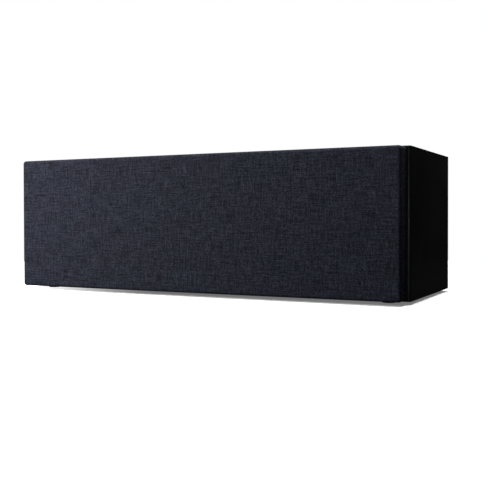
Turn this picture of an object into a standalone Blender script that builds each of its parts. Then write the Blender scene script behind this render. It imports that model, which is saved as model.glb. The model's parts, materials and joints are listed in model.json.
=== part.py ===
"""A compact one-box soundbar.

An MDF cabinet with a pull-off cloth grille holds two mid-woofers, two dome tweeters, two rear
ports and an amplifier module.  Metres, +Z up.  The front faces -Y.  The origin is the centre
of the footprint, on the surface that the feet stand on.
"""

import math

import bmesh
import bpy
from mathutils import Matrix, Vector

# ------------------------------------------------------------------ driving dimensions
CABINET_WIDTH = 0.468
CABINET_DEPTH = 0.166
CABINET_HEIGHT = 0.150
WALL = 0.012
FRONT_EDGE_RADIUS = 0.0028
LONG_EDGE_RADIUS = 0.0008
JOINT_GAP = 0.0003

FOOT_HEIGHT = 0.003
FOOT_RADIUS = 0.008
FOOT_INSET_X = 0.0248
FOOT_INSET_Y = 0.0145

BAFFLE_THICKNESS = 0.015
REAR_THICKNESS = 0.012
REAR_RECESS = 0.005
DIVIDER_X = 0.042
DIVIDER_THICKNESS = 0.009

GRILLE_DEPTH = 0.018
GRILLE_STANDOFF = 0.0005
GRILLE_SIDE_REVEAL = 0.0037
GRILLE_TOP_REVEAL = 0.00075
GRILLE_EDGE_RADIUS = 0.0035
CLOTH_THICKNESS = 0.0008
FRAME_BORDER = 0.012
FRAME_BAR = 0.011
BAR_SETBACK = 0.004
INNER_BAR_X = 0.029
PEG_RADIUS = 0.0023
PEG_LENGTH = 0.009
PEG_EDGE = 0.0127
CUP_BORE = 0.0027
CUP_WALL = 0.0020
CUP_LIP = 0.0012
CUP_LIP_THICKNESS = 0.0010
CUP_FLOOR = 0.0015

WOOFER_EDGE_MARGIN = 0.0047
WOOFER_CLEAR = 0.0025
WOOFER_INNER_EDGE = 0.040
FLANGE_THICKNESS = 0.003
FLANGE_LAND = 0.0096
BASKET_WALL = 0.0019
BASKET_DEPTH = 0.0405
ROLL_WIDTH = 0.0068
SKIN = 0.0008
COIL_RADIUS = 0.0126
CONE_DEPTH = 0.0225
PLATE_THICKNESS = 0.005
MAGNET_THICKNESS = 0.013
SPIDER_REACH = 0.85
SPIDER_WAVE = 0.0011
SPIDER_LEDGE = 0.0075
BASKET_WAIST = 0.011
WINDOWS = 6
CAP_OVERLAP = 0.0044
CAP_RISE = 0.0051
FORMER_WALL = 0.0005
WINDING = 0.0007
POLE_GAP = 0.0005
COIL_GAP = 0.0007
MAGNET_BORE_STEP = 0.004
PLATE_OVERHANG = 0.0005
MAGNET_OVERHANG = 0.0045

TWEETER_RADIUS = 0.027
TWEETER_EDGE_MARGIN = 0.0067
DOME_RADIUS = 0.0125
DOME_RISE = 0.0046
DOME_CLEARANCE = 0.0006
DOME_SKIRT = 0.0045
HORN_LIP = 0.0008
HORN_BEND = 0.0010
TWEETER_GAP = 0.0005
TWEETER_POLE_DROP = 0.0012
TWEETER_GROOVE = 0.002
TWEETER_MOTOR_WALL = 0.0045
TWEETER_MOTOR_DEPTH = 0.017

PORT_BORE = 0.0175
PORT_WALL = 0.002
PORT_LENGTH = 0.080
PORT_FLANGE = 0.005
PORT_LIP = 0.0016
PORT_EDGE = 0.047

PLATE_WIDTH = 0.092
PLATE_MARGIN = 0.007
PLATE_LAP = 0.010
PLATE_SHEET = 0.002
SCREW_RADIUS = 0.0016
SCREW_HEAD = 0.0031
SCREW_LENGTH = 0.012

BOARD_X = 0.019
BOARD_THICKNESS = 0.0016
BOARD_DEPTH = 0.085
BOARD_SETBACK = 0.004
BOARD_CLEARANCE = 0.003
CORE_SIZE = (0.030, 0.032, 0.036)
CORE_EDGE = 0.0015
CORE_DROP = 0.010
CORE_INSET = 0.003
FIN_BASE = 0.003
FIN = 0.0015
FIN_COUNT = 7
FIN_PITCH = 0.0065
FIN_REACH = 0.011
FIN_LENGTH = 0.040
HDMI_SIZE = (0.0056, 0.012, 0.0150)
HDMI_DEPTH = 0.009
OPTICAL_SIZE = (0.0100, 0.014, 0.0100)
OPTICAL_SWING = 0.0015
AUX_SIZE = (0.0080, 0.013, 0.0080)
AUX_BORE = 0.0018
AUX_DEPTH = 0.010
SOCKET_CLEARANCE = 0.0004
SOCKET_WALL = 0.0006
INLET_SIZE = (0.024, 0.018, 0.015)
INLET_WELL = (0.0165, 0.010, 0.0090)
INLET_PIN_RADIUS = 0.0012
INLET_PIN_PITCH = 0.0086
INLET_PIN_SETBACK = 0.0015
ROCKER_SIZE = (0.013, 0.014, 0.019)
ROCKER_WELL = 0.008
ROCKER_THICKNESS = 0.0032
ROCKER_SETBACK = 0.0004
ROCKER_TILT = math.radians(10)
BUTTON_RADIUS = 0.0032
BUTTON_PROUD = 0.0020
LEAD_RADIUS = 0.0013
LEAD_HOLE = 0.0030
LEAD_HOLE_DEPTH = 0.045
LEAD_HOLE_RISE = 0.020
LEAD_START_RISE = 0.030
LEAD_END_CLEARANCE = 0.0070
LEAD_TIP_GAP = 0.002
LENS_RADIUS = 0.0045
CUT_PAST = 0.002

TURN_STEPS = 24
SMALL_STEPS = 12

# ------------------------------------------------------------------ places worked out from them
TOTAL_DEPTH = GRILLE_DEPTH + GRILLE_STANDOFF + CABINET_DEPTH
Y_FRONT = -TOTAL_DEPTH / 2 + GRILLE_DEPTH + GRILLE_STANDOFF
Y_REAR = Y_FRONT + CABINET_DEPTH
Y_PANEL = Y_REAR - REAR_RECESS
Z_MID = FOOT_HEIGHT + CABINET_HEIGHT / 2

INNER_WIDTH = CABINET_WIDTH - 2 * WALL
INNER_HEIGHT = CABINET_HEIGHT - 2 * WALL
BAFFLE_WIDTH = INNER_WIDTH - 2 * JOINT_GAP
BAFFLE_HEIGHT = INNER_HEIGHT - 2 * JOINT_GAP

TWEETER_X = BAFFLE_WIDTH / 2 - TWEETER_EDGE_MARGIN - TWEETER_RADIUS
TWEETER_INNER_EDGE = TWEETER_X - TWEETER_RADIUS
WOOFER_X = (WOOFER_INNER_EDGE + TWEETER_INNER_EDGE) / 2
WOOFER_RADIUS = min(
    BAFFLE_HEIGHT / 2 - WOOFER_EDGE_MARGIN,
    (TWEETER_INNER_EDGE - WOOFER_INNER_EDGE) / 2 - WOOFER_CLEAR,
)
MOUTH_RADIUS = WOOFER_RADIUS - FLANGE_LAND
LEDGE_DEPTH = 2 * SKIN
LEDGE_RADIUS = (WOOFER_RADIUS + MOUTH_RADIUS) / 2 - SKIN
CONE_RADIUS = MOUTH_RADIUS - BASKET_WALL - ROLL_WIDTH
SPIDER_RADIUS = COIL_RADIUS + (CONE_RADIUS - COIL_RADIUS) * SPIDER_REACH
SPIDER_Z = -BASKET_DEPTH + SPIDER_LEDGE

OUTER_BAR_X = (WOOFER_X + WOOFER_RADIUS + TWEETER_INNER_EDGE) / 2
PEG_Z = BAFFLE_HEIGHT / 2 - PEG_EDGE
GRILLE_WIDTH = CABINET_WIDTH - 2 * GRILLE_SIDE_REVEAL
GRILLE_HEIGHT = CABINET_HEIGHT - 2 * GRILLE_TOP_REVEAL
Y_GRILLE_BACK = Y_FRONT - GRILLE_STANDOFF
Y_GRILLE_FRONT = Y_GRILLE_BACK - GRILLE_DEPTH

PORT_X = INNER_WIDTH / 2 - PORT_EDGE
PLATE_HEIGHT = BAFFLE_HEIGHT - 2 * PLATE_MARGIN
OPENING_WIDTH = PLATE_WIDTH - 2 * PLATE_LAP
OPENING_HEIGHT = PLATE_HEIGHT - 2 * PLATE_LAP
Y_PLATE_BACK = Y_PANEL + JOINT_GAP
Y_PLATE_FACE = Y_PLATE_BACK + PLATE_SHEET
POWER_X = -OPENING_WIDTH / 4

SIDES = (("left", -1), ("right", 1))


# ------------------------------------------------------------------ scene and materials
def clear_scene():
    for item in list(bpy.data.objects):
        bpy.data.objects.remove(item)


def new_collection(name, hidden=False):
    made = bpy.data.collections.new(name)
    bpy.context.scene.collection.children.link(made)
    made.hide_render = hidden
    return made


clear_scene()
PARTS = new_collection("soundbar")
CUTTERS = new_collection("cutters", hidden=True)


def material(name, colour, roughness, metallic=0.0):
    made = bpy.data.materials.new(name)
    made.use_nodes = True
    shader = made.node_tree.nodes["Principled BSDF"]
    shader.inputs["Base Color"].default_value = (*colour, 1.0)
    shader.inputs["Roughness"].default_value = roughness
    shader.inputs["Metallic"].default_value = metallic
    return made


VINYL = material("black_vinyl", (0.012, 0.012, 0.013), 0.42)
BOARD = material("mdf_board", (0.055, 0.045, 0.038), 0.85)
CLOTH = material("grille_cloth", (0.030, 0.032, 0.042), 0.92)
PLASTIC = material("black_plastic", (0.015, 0.015, 0.016), 0.5)
RUBBER = material("black_rubber", (0.014, 0.014, 0.014), 0.75)
STEEL = material("zinc_steel", (0.46, 0.46, 0.47), 0.38, 1.0)
BLACK_STEEL = material("black_steel", (0.02, 0.02, 0.021), 0.45, 0.3)
FERRITE = material("ferrite", (0.05, 0.05, 0.052), 0.55)
PULP = material("cone_pulp", (0.022, 0.022, 0.024), 0.8)
COPPER = material("copper_coil", (0.60, 0.25, 0.13), 0.35, 1.0)
LINEN = material("spider_linen", (0.55, 0.42, 0.16), 0.9)
ALUMINIUM = material("heat_sink_aluminium", (0.62, 0.63, 0.65), 0.35, 1.0)
CIRCUIT = material("circuit_board", (0.02, 0.09, 0.05), 0.5)
LENS = material("smoked_lens", (0.03, 0.005, 0.006), 0.15)


# ------------------------------------------------------------------ modelling helpers
def add_object(name, mesh, finish, parent=None, cutter=False):
    made = bpy.data.objects.new(name, mesh)
    (CUTTERS if cutter else PARTS).objects.link(made)
    if finish is not None:
        mesh.materials.append(finish)
    if cutter:
        made.hide_render = True
        made.display_type = "WIRE"
    made.parent = parent
    return made


def axis_empty(name, place, towards):
    """An empty whose local +Z points along the world direction given."""
    made = bpy.data.objects.new(name, None)
    PARTS.objects.link(made)
    made.location = place
    made.rotation_euler = Vector(towards).to_track_quat("Z", "Y").to_euler()
    return made


def block_mesh(name, size, radius=0.0, steps=1, picks=None):
    """A box about its own centre.  picks(edge) chooses the edges that are rounded."""
    shape = bmesh.new()
    bmesh.ops.create_cube(shape, size=1.0)
    bmesh.ops.scale(shape, vec=size, verts=shape.verts)
    if radius:
        chosen = [e for e in shape.edges if picks is None or picks(e)]
        bmesh.ops.bevel(
            shape,
            geom=chosen,
            offset=radius,
            segments=steps,
            profile=0.5,
            affect="EDGES",
            clamp_overlap=True,
        )
    mesh = bpy.data.meshes.new(name)
    shape.to_mesh(mesh)
    shape.free()
    return mesh


def block(name, size, centre, finish, parent=None, cutter=False, **rounding):
    made = add_object(name, block_mesh(name, size, **rounding), finish, parent, cutter)
    made.location = centre
    return made


def turned(name, profile, finish, parent=None, steps=TURN_STEPS, cutter=False):
    """A solid of revolution about local Z.  The profile holds (radius, height) points that
    run down the outer side.  It closes on itself unless both its ends lie on the axis."""
    on_axis = profile[0][0] == 0 and profile[-1][0] == 0
    count = len(profile)
    links = [(i, i + 1) for i in range(count - 1)]
    if not on_axis:
        links.append((count - 1, 0))
    mesh = bpy.data.meshes.new(name)
    mesh.from_pydata([(r, 0.0, z) for r, z in profile], links, [])
    made = add_object(name, mesh, finish, parent, cutter)
    spin = made.modifiers.new("turn", "SCREW")
    spin.axis = "Z"
    spin.steps = spin.render_steps = steps
    spin.use_merge_vertices = True
    spin.merge_threshold = 1e-5
    spin.use_smooth_shade = True
    return made


def rod(name, radius, low, high, finish=None, parent=None, steps=SMALL_STEPS, cutter=False):
    return turned(
        name,
        [(0, high), (radius, high), (radius, low), (0, low)],
        finish,
        parent,
        steps,
        cutter,
    )


def arc(centre, radius, start, end, steps):
    """Points of an arc in a profile, from one angle in degrees to the other."""
    return [
        (
            centre[0] + radius * math.cos(math.radians(start + (end - start) * i / steps)),
            centre[1] + radius * math.sin(math.radians(start + (end - start) * i / steps)),
        )
        for i in range(steps + 1)
    ]


def boolean(target, other, operation="DIFFERENCE"):
    change = target.modifiers.new(operation.lower(), "BOOLEAN")
    change.operation = operation
    change.solver = "EXACT"
    change.object = other


def smooth_curve(points, step):
    """Points about one step apart on a Catmull-Rom curve through the given points."""
    ends = [points[0] * 2 - points[1], *points, points[-1] * 2 - points[-2]]
    found = []
    for a, b, c, d in zip(ends, ends[1:], ends[2:], ends[3:]):
        count = max(2, round((c - b).length / step))
        for i in range(count):
            t = i / count
            found.append(
                (b * 2 + (c - a) * t + (a * 2 - b * 5 + c * 4 - d) * t**2
                 + (b * 3 - a - c * 3 + d) * t**3) / 2
            )
    return [*found, points[-1]]


def cable(name, points, radius, finish):
    route = smooth_curve([Vector(p) for p in points], 5 * radius)
    curve = bpy.data.curves.new(name, "CURVE")
    curve.dimensions = "3D"
    curve.bevel_depth = radius
    curve.bevel_resolution = 2
    curve.use_fill_caps = True
    spline = curve.splines.new("POLY")
    spline.points.add(len(route) - 1)
    for point, place in zip(spline.points, route):
        point.co = (*place, 1.0)
    curve.materials.append(finish)
    made = bpy.data.objects.new(name, curve)
    PARTS.objects.link(made)
    return made


def stacked(heights, span):
    """Centres, from the top down, of pieces spread evenly over a span about zero."""
    space = (span - sum(heights)) / (len(heights) + 1)
    centres, top = [], span / 2
    for height in heights:
        centres.append(top - space - height / 2)
        top -= space + height
    return centres


# ------------------------------------------------------------------ cabinet
def front_upright(edge):
    a, b = (v.co for v in edge.verts)
    return abs(a.z - b.z) > 1e-6 and a.y < 0


def long_edges(edge):
    a, b = (v.co for v in edge.verts)
    return abs(a.x - b.x) > CABINET_WIDTH / 2


def build_cabinet():
    """The folded MDF sleeve: round front corners, and a slight ease on the long edges."""
    shape = bmesh.new()
    bmesh.ops.create_cube(shape, size=1.0)
    bmesh.ops.scale(
        shape, vec=(CABINET_WIDTH, CABINET_DEPTH, CABINET_HEIGHT), verts=shape.verts
    )
    for radius, steps, picks in (
        (FRONT_EDGE_RADIUS, 4, front_upright),
        (LONG_EDGE_RADIUS, 1, long_edges),
    ):
        bmesh.ops.bevel(
            shape,
            geom=[e for e in shape.edges if picks(e)],
            offset=radius,
            segments=steps,
            profile=0.5,
            affect="EDGES",
        )
    mesh = bpy.data.meshes.new("cabinet_sleeve")
    shape.to_mesh(mesh)
    shape.free()
    sleeve = add_object("cabinet_sleeve", mesh, VINYL)
    sleeve.location = (0, (Y_FRONT + Y_REAR) / 2, Z_MID)
    hollow = block(
        "sleeve_hollow",
        (INNER_WIDTH, CABINET_DEPTH * 1.2, INNER_HEIGHT),
        sleeve.location,
        None,
        cutter=True,
    )
    boolean(sleeve, hollow)


def build_feet():
    for depth_name, y in (
        ("front", Y_FRONT + FOOT_INSET_Y),
        ("rear", Y_REAR - FOOT_INSET_Y),
    ):
        for side, sign in SIDES:
            foot = turned(
                f"foot_{depth_name}_{side}",
                [
                    (0, FOOT_HEIGHT - JOINT_GAP),
                    (FOOT_RADIUS, FOOT_HEIGHT - JOINT_GAP),
                    (FOOT_RADIUS * 0.94, FOOT_HEIGHT * 0.2),
                    (FOOT_RADIUS * 0.85, 0),
                    (FOOT_RADIUS * 0.35, 0),
                    (FOOT_RADIUS * 0.30, FOOT_HEIGHT * 0.45),
                    (0, FOOT_HEIGHT * 0.45),
                ],
                RUBBER,
            )
            foot.location = (sign * (CABINET_WIDTH / 2 - FOOT_INSET_X), y, 0)


def driver_cutter(name, parent, rebate_radius, rebate_depth, hole_radius, steps=TURN_STEPS):
    """A stepped hole through the baffle: a flat rebate, and a smaller hole behind it."""
    over = BAFFLE_THICKNESS * 1.5
    return turned(
        name,
        [
            (0, over / 2),
            (rebate_radius, over / 2),
            (rebate_radius, -rebate_depth),
            (hole_radius, -rebate_depth),
            (hole_radius, -over),
            (0, -over),
        ],
        None,
        parent,
        steps,
        cutter=True,
    )


def build_baffle(woofer_axes, tweeter_axes, cup_axes, lens_axis):
    baffle = block(
        "front_baffle",
        (BAFFLE_WIDTH, BAFFLE_THICKNESS, BAFFLE_HEIGHT),
        (0, Y_FRONT + BAFFLE_THICKNESS / 2, Z_MID),
        BOARD,
    )
    rebate = FLANGE_THICKNESS + JOINT_GAP
    holes = [
        driver_cutter(f"{a.name}_hole", a, WOOFER_RADIUS + JOINT_GAP, rebate,
                      MOUTH_RADIUS + 2 * JOINT_GAP)
        for a in woofer_axes
    ]
    holes += [
        driver_cutter(f"{a.name}_hole", a, TWEETER_RADIUS + JOINT_GAP, rebate,
                      tweeter_motor_radius() + 2 * JOINT_GAP)
        for a in tweeter_axes
    ]
    holes += [
        driver_cutter(f"{a.name}_hole", a, CUP_BORE + CUP_WALL + CUP_LIP + JOINT_GAP,
                      CUP_LIP_THICKNESS + JOINT_GAP, CUP_BORE + CUP_WALL + JOINT_GAP,
                      SMALL_STEPS)
        for a in cup_axes
    ]
    holes.append(
        rod("lens_hole", LENS_RADIUS + JOINT_GAP, -BAFFLE_THICKNESS * 1.5,
            BAFFLE_THICKNESS, parent=lens_axis, cutter=True)
    )
    for hole in holes:
        boolean(baffle, hole)


def build_rear_panel(port_axes, screw_axes):
    panel = block(
        "rear_panel",
        (BAFFLE_WIDTH, REAR_THICKNESS, BAFFLE_HEIGHT),
        (0, Y_PANEL - REAR_THICKNESS / 2, Z_MID),
        VINYL,
    )
    opening = block(
        "amplifier_opening",
        (OPENING_WIDTH, REAR_THICKNESS * 2, OPENING_HEIGHT),
        panel.location,
        None,
        cutter=True,
    )
    boolean(panel, opening)
    for axis in port_axes:
        boolean(
            panel,
            rod(f"{axis.name}_hole", PORT_BORE + PORT_WALL + JOINT_GAP,
                -2 * REAR_THICKNESS, REAR_THICKNESS, parent=axis, steps=TURN_STEPS,
                cutter=True),
        )
    for axis in screw_axes:
        boolean(
            panel,
            rod(f"{axis.name}_pilot", SCREW_RADIUS + JOINT_GAP, -2 * REAR_THICKNESS,
                REAR_THICKNESS, parent=axis, steps=SMALL_STEPS, cutter=True),
        )


def lead_hole_place(sign):
    """Where a speaker lead passes its divider."""
    y = Y_FRONT + BAFFLE_THICKNESS + LEAD_HOLE_DEPTH
    return Vector((sign * DIVIDER_X, y, Z_MID + LEAD_HOLE_RISE))


def build_dividers():
    """Two boards that shut the amplifier's space off from the speaker chambers."""
    depth = Y_PANEL - REAR_THICKNESS - Y_FRONT - BAFFLE_THICKNESS - 2 * JOINT_GAP
    middle = (Y_PANEL - REAR_THICKNESS + Y_FRONT + BAFFLE_THICKNESS) / 2
    for side, sign in SIDES:
        divider = block(
            f"divider_{side}",
            (DIVIDER_THICKNESS, depth, BAFFLE_HEIGHT),
            (sign * DIVIDER_X, middle, Z_MID),
            BOARD,
        )
        hole_axis = axis_empty(f"lead_axis_{side}", lead_hole_place(sign), (1, 0, 0))
        boolean(
            divider,
            rod(f"lead_hole_{side}", LEAD_HOLE, -DIVIDER_THICKNESS, DIVIDER_THICKNESS,
                parent=hole_axis, steps=SMALL_STEPS, cutter=True),
        )


# ------------------------------------------------------------------ grille
def front_or_corner(edge):
    a, b = (v.co for v in edge.verts)
    return (a.y < 0 and b.y < 0) or abs(a.y - b.y) > 1e-6


def build_grille_cloth():
    """The cloth as it lies on its frame: a shallow cap, open at the back."""
    mesh = block_mesh(
        "grille_cloth",
        (GRILLE_WIDTH, GRILLE_DEPTH, GRILLE_HEIGHT),
        radius=GRILLE_EDGE_RADIUS,
        steps=3,
        picks=front_or_corner,
    )
    shape = bmesh.new()
    shape.from_mesh(mesh)
    back = [f for f in shape.faces if f.normal.y > 0.99]
    bmesh.ops.delete(shape, geom=back, context="FACES")
    shape.to_mesh(mesh)
    shape.free()
    cloth = add_object("grille_cloth", mesh, CLOTH)
    cloth.location = (0, (Y_GRILLE_FRONT + Y_GRILLE_BACK) / 2, Z_MID)
    wall = cloth.modifiers.new("thickness", "SOLIDIFY")
    wall.thickness = CLOTH_THICKNESS
    wall.offset = -1.0
    wall.use_even_offset = True


def bay_spans():
    """The (low, high) X of each opening between the frame's uprights."""
    inside = GRILLE_WIDTH / 2 - CLOTH_THICKNESS - JOINT_GAP - FRAME_BORDER
    bars = [-OUTER_BAR_X, -INNER_BAR_X, INNER_BAR_X, OUTER_BAR_X]
    lows = [-inside] + [x + FRAME_BAR / 2 for x in bars]
    highs = [x - FRAME_BAR / 2 for x in bars] + [inside]
    return list(zip(lows, highs))


def build_grille_frame(peg_places):
    """The moulded frame: a border with a round front edge, four uprights and four pegs."""
    inset = CLOTH_THICKNESS + JOINT_GAP
    width, height = GRILLE_WIDTH - 2 * inset, GRILLE_HEIGHT - 2 * inset
    depth = GRILLE_DEPTH - inset
    middle = Y_GRILLE_BACK - depth / 2
    frame = block(
        "grille_frame",
        (width, depth, height),
        (0, middle, Z_MID),
        PLASTIC,
        radius=GRILLE_EDGE_RADIUS - inset,
        steps=3,
        picks=front_or_corner,
    )
    clear_height = height - 2 * FRAME_BORDER
    for number, (low, high) in enumerate(bay_spans()):
        bay = block(
            f"grille_bay_{number}",
            (high - low, 2 * GRILLE_DEPTH, clear_height),
            ((low + high) / 2, middle, Z_MID),
            None,
            cutter=True,
        )
        boolean(frame, bay)
    setback = block(
        "bar_setback",
        (width - 2 * FRAME_BORDER, 2 * BAR_SETBACK, clear_height),
        (0, Y_GRILLE_BACK - depth, Z_MID),
        None,
        cutter=True,
    )
    boolean(frame, setback)
    for number, (x, z) in enumerate(peg_places):
        axis = axis_empty(f"peg_axis_{number}", (x, Y_GRILLE_BACK, z), (0, 1, 0))
        peg = turned(
            f"peg_{number}",
            [
                (0, PEG_LENGTH),
                (PEG_RADIUS * 0.7, PEG_LENGTH),
                (PEG_RADIUS, PEG_LENGTH - PEG_RADIUS * 0.6),
                (PEG_RADIUS, -GRILLE_DEPTH / 3),
                (0, -GRILLE_DEPTH / 3),
            ],
            None,
            axis,
            SMALL_STEPS,
            cutter=True,
        )
        boolean(frame, peg, "UNION")


def build_cup(name, axis):
    outer = CUP_BORE + CUP_WALL
    depth = PEG_LENGTH + CUP_FLOOR
    turned(
        name,
        [
            (CUP_BORE, 0),
            (outer + CUP_LIP, 0),
            (outer + CUP_LIP, -CUP_LIP_THICKNESS),
            (outer, -CUP_LIP_THICKNESS),
            (outer, -depth - CUP_FLOOR),
            (0, -depth - CUP_FLOOR),
            (0, -depth),
            (CUP_BORE, -depth),
        ],
        RUBBER,
        axis,
        SMALL_STEPS,
    )


# ------------------------------------------------------------------ mid-woofer
def cone_height(radius):
    """Height of the cone's front face: steep at the neck and flatter at the rim."""
    share = (CONE_RADIUS - radius) / (CONE_RADIUS - COIL_RADIUS)
    return -LEDGE_DEPTH - JOINT_GAP - CONE_DEPTH * share**1.25


def build_basket(name, axis):
    foot = SPIDER_RADIUS + BASKET_WALL
    inner = MOUTH_RADIUS - BASKET_WALL
    floor = -BASKET_DEPTH + BASKET_WALL
    waist = -FLANGE_THICKNESS - BASKET_WAIST
    basket = turned(
        name,
        [
            (inner, -LEDGE_DEPTH),
            (LEDGE_RADIUS, -LEDGE_DEPTH),
            (LEDGE_RADIUS, 0),
            (WOOFER_RADIUS, 0),
            (WOOFER_RADIUS, -FLANGE_THICKNESS),
            (MOUTH_RADIUS, -FLANGE_THICKNESS),
            (MOUTH_RADIUS - BASKET_WALL, waist),
            (foot, SPIDER_Z + BASKET_WALL),
            (foot, SPIDER_Z - BASKET_WALL / 2),
            (foot - 2 * BASKET_WALL, -BASKET_DEPTH),
            (COIL_RADIUS + 3 * BASKET_WALL, -BASKET_DEPTH),
            (COIL_RADIUS + 3 * BASKET_WALL, floor),
            (SPIDER_RADIUS - 1.6 * BASKET_WALL, floor),
            (SPIDER_RADIUS - 1.6 * BASKET_WALL, SPIDER_Z),
            (SPIDER_RADIUS + JOINT_GAP, SPIDER_Z),
            (SPIDER_RADIUS + JOINT_GAP, SPIDER_Z + BASKET_WALL),
            (inner - BASKET_WALL, waist),
        ],
        BLACK_STEEL,
        axis,
    )
    top = -BAFFLE_THICKNESS - JOINT_GAP
    low = SPIDER_Z + 2 * BASKET_WALL
    width = 2 * math.pi * foot / WINDOWS * 0.6
    shape = bmesh.new()
    for number in range(WINDOWS):
        turn = Matrix.Rotation(2 * math.pi * (number + 0.5) / WINDOWS, 4, "Z")
        place = Matrix.Translation(((foot + MOUTH_RADIUS) / 2, 0, (top + low) / 2))
        size = Matrix.Diagonal((MOUTH_RADIUS, width, top - low, 1))
        bmesh.ops.create_cube(shape, size=1.0, matrix=turn @ place @ size)
    mesh = bpy.data.meshes.new(f"{name}_windows")
    shape.to_mesh(mesh)
    shape.free()
    boolean(basket, add_object(f"{name}_windows", mesh, None, axis, cutter=True))


def surround_profile():
    """A half roll with a flat lip on each side, one skin thick."""
    lip = -LEDGE_DEPTH + JOINT_GAP
    outer = MOUTH_RADIUS - BASKET_WALL
    centre = ((outer + CONE_RADIUS) / 2, lip)
    bend = (outer - CONE_RADIUS) / 2
    over = arc((centre[0], lip + SKIN), bend, 180, 0, 6)
    under = arc((centre[0], lip), bend - SKIN, 0, 180, 6)
    return [
        (CONE_RADIUS - 2 * SKIN, lip),
        (CONE_RADIUS - 2 * SKIN, lip + SKIN),
        *over,
        (LEDGE_RADIUS - JOINT_GAP, lip + SKIN),
        (LEDGE_RADIUS - JOINT_GAP, lip),
        *under,
    ]


def cone_profile():
    count = 5
    radii = [
        COIL_RADIUS + JOINT_GAP + (CONE_RADIUS - COIL_RADIUS - JOINT_GAP) * i / count
        for i in range(count + 1)
    ]
    face = [(r, cone_height(r)) for r in radii]
    return face + [(r, z - SKIN) for r, z in reversed(face)]


def dust_cap_profile():
    radius = COIL_RADIUS + CAP_OVERLAP
    base = cone_height(radius) + 2 * JOINT_GAP
    curve = (radius**2 + CAP_RISE**2) / (2 * CAP_RISE)
    spread = math.degrees(math.asin(radius / curve))
    centre = (0, base + SKIN + CAP_RISE - curve)
    front = arc(centre, curve, 90, 90 - spread, 4)
    back = arc((0, centre[1] - SKIN), curve, 90 - spread, 90, 4)
    front[0] = (0, front[0][1])
    back[-1] = (0, back[-1][1])
    return front + back


def spider_profile():
    """The corrugated suspension, between the voice coil and the basket's inner ledge."""
    low = SPIDER_Z + JOINT_GAP
    inside, outside = COIL_RADIUS + JOINT_GAP, SPIDER_RADIUS
    flat = 3 * SKIN
    waves, points = 3, 12
    span = outside - flat - inside
    line = [
        (
            inside + span * i / points,
            low + SPIDER_WAVE * (1 - math.cos(2 * math.pi * waves * i / points)),
        )
        for i in range(points + 1)
    ]
    line.append((outside, low))
    return [(r, z + SKIN) for r, z in line] + line[::-1]


def coil_profile():
    """A thin former tube, with the winding as a thicker band round its lower part."""
    inner, outer = COIL_RADIUS - FORMER_WALL, COIL_RADIUS
    wind = COIL_RADIUS + WINDING
    top = cone_height(COIL_RADIUS) + SKIN
    middle = -BASKET_DEPTH - JOINT_GAP - PLATE_THICKNESS / 2
    reach = PLATE_THICKNESS
    return [
        (inner, top),
        (outer, top),
        (outer, middle + reach),
        (wind, middle + reach),
        (wind, middle - reach),
        (inner, middle - reach),
    ]


def build_woofer(side, axis):
    build_basket(f"woofer_{side}_basket", axis)
    turned(f"woofer_{side}_surround", surround_profile(), RUBBER, axis)
    turned(f"woofer_{side}_cone", cone_profile(), PULP, axis)
    turned(f"woofer_{side}_dust_cap", dust_cap_profile(), PULP, axis)
    turned(f"woofer_{side}_spider", spider_profile(), LINEN, axis)
    turned(f"woofer_{side}_voice_coil", coil_profile(), COPPER, axis)
    plate_top = -BASKET_DEPTH - JOINT_GAP
    plate_low = plate_top - PLATE_THICKNESS
    magnet_top = plate_low - JOINT_GAP
    magnet_low = magnet_top - MAGNET_THICKNESS
    back_top = magnet_low - JOINT_GAP
    pole = COIL_RADIUS - FORMER_WALL - POLE_GAP
    gap_outer = COIL_RADIUS + WINDING + COIL_GAP
    magnet_bore = gap_outer + MAGNET_BORE_STEP
    plate_radius = SPIDER_RADIUS + PLATE_OVERHANG
    magnet_radius = SPIDER_RADIUS + MAGNET_OVERHANG
    turned(
        f"woofer_{side}_top_plate",
        [(gap_outer, plate_top), (plate_radius, plate_top),
         (plate_radius, plate_low), (gap_outer, plate_low)],
        STEEL,
        axis,
    )
    turned(
        f"woofer_{side}_magnet",
        [(magnet_bore, magnet_top), (magnet_radius, magnet_top),
         (magnet_radius, magnet_low), (magnet_bore, magnet_low)],
        FERRITE,
        axis,
    )
    turned(
        f"woofer_{side}_yoke",
        [(0, plate_top), (pole, plate_top), (pole, back_top), (plate_radius, back_top),
         (plate_radius, back_top - PLATE_THICKNESS), (0, back_top - PLATE_THICKNESS)],
        STEEL,
        axis,
    )


# ------------------------------------------------------------------ tweeter
def tweeter_motor_radius():
    return DOME_RADIUS + TWEETER_MOTOR_WALL


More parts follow.
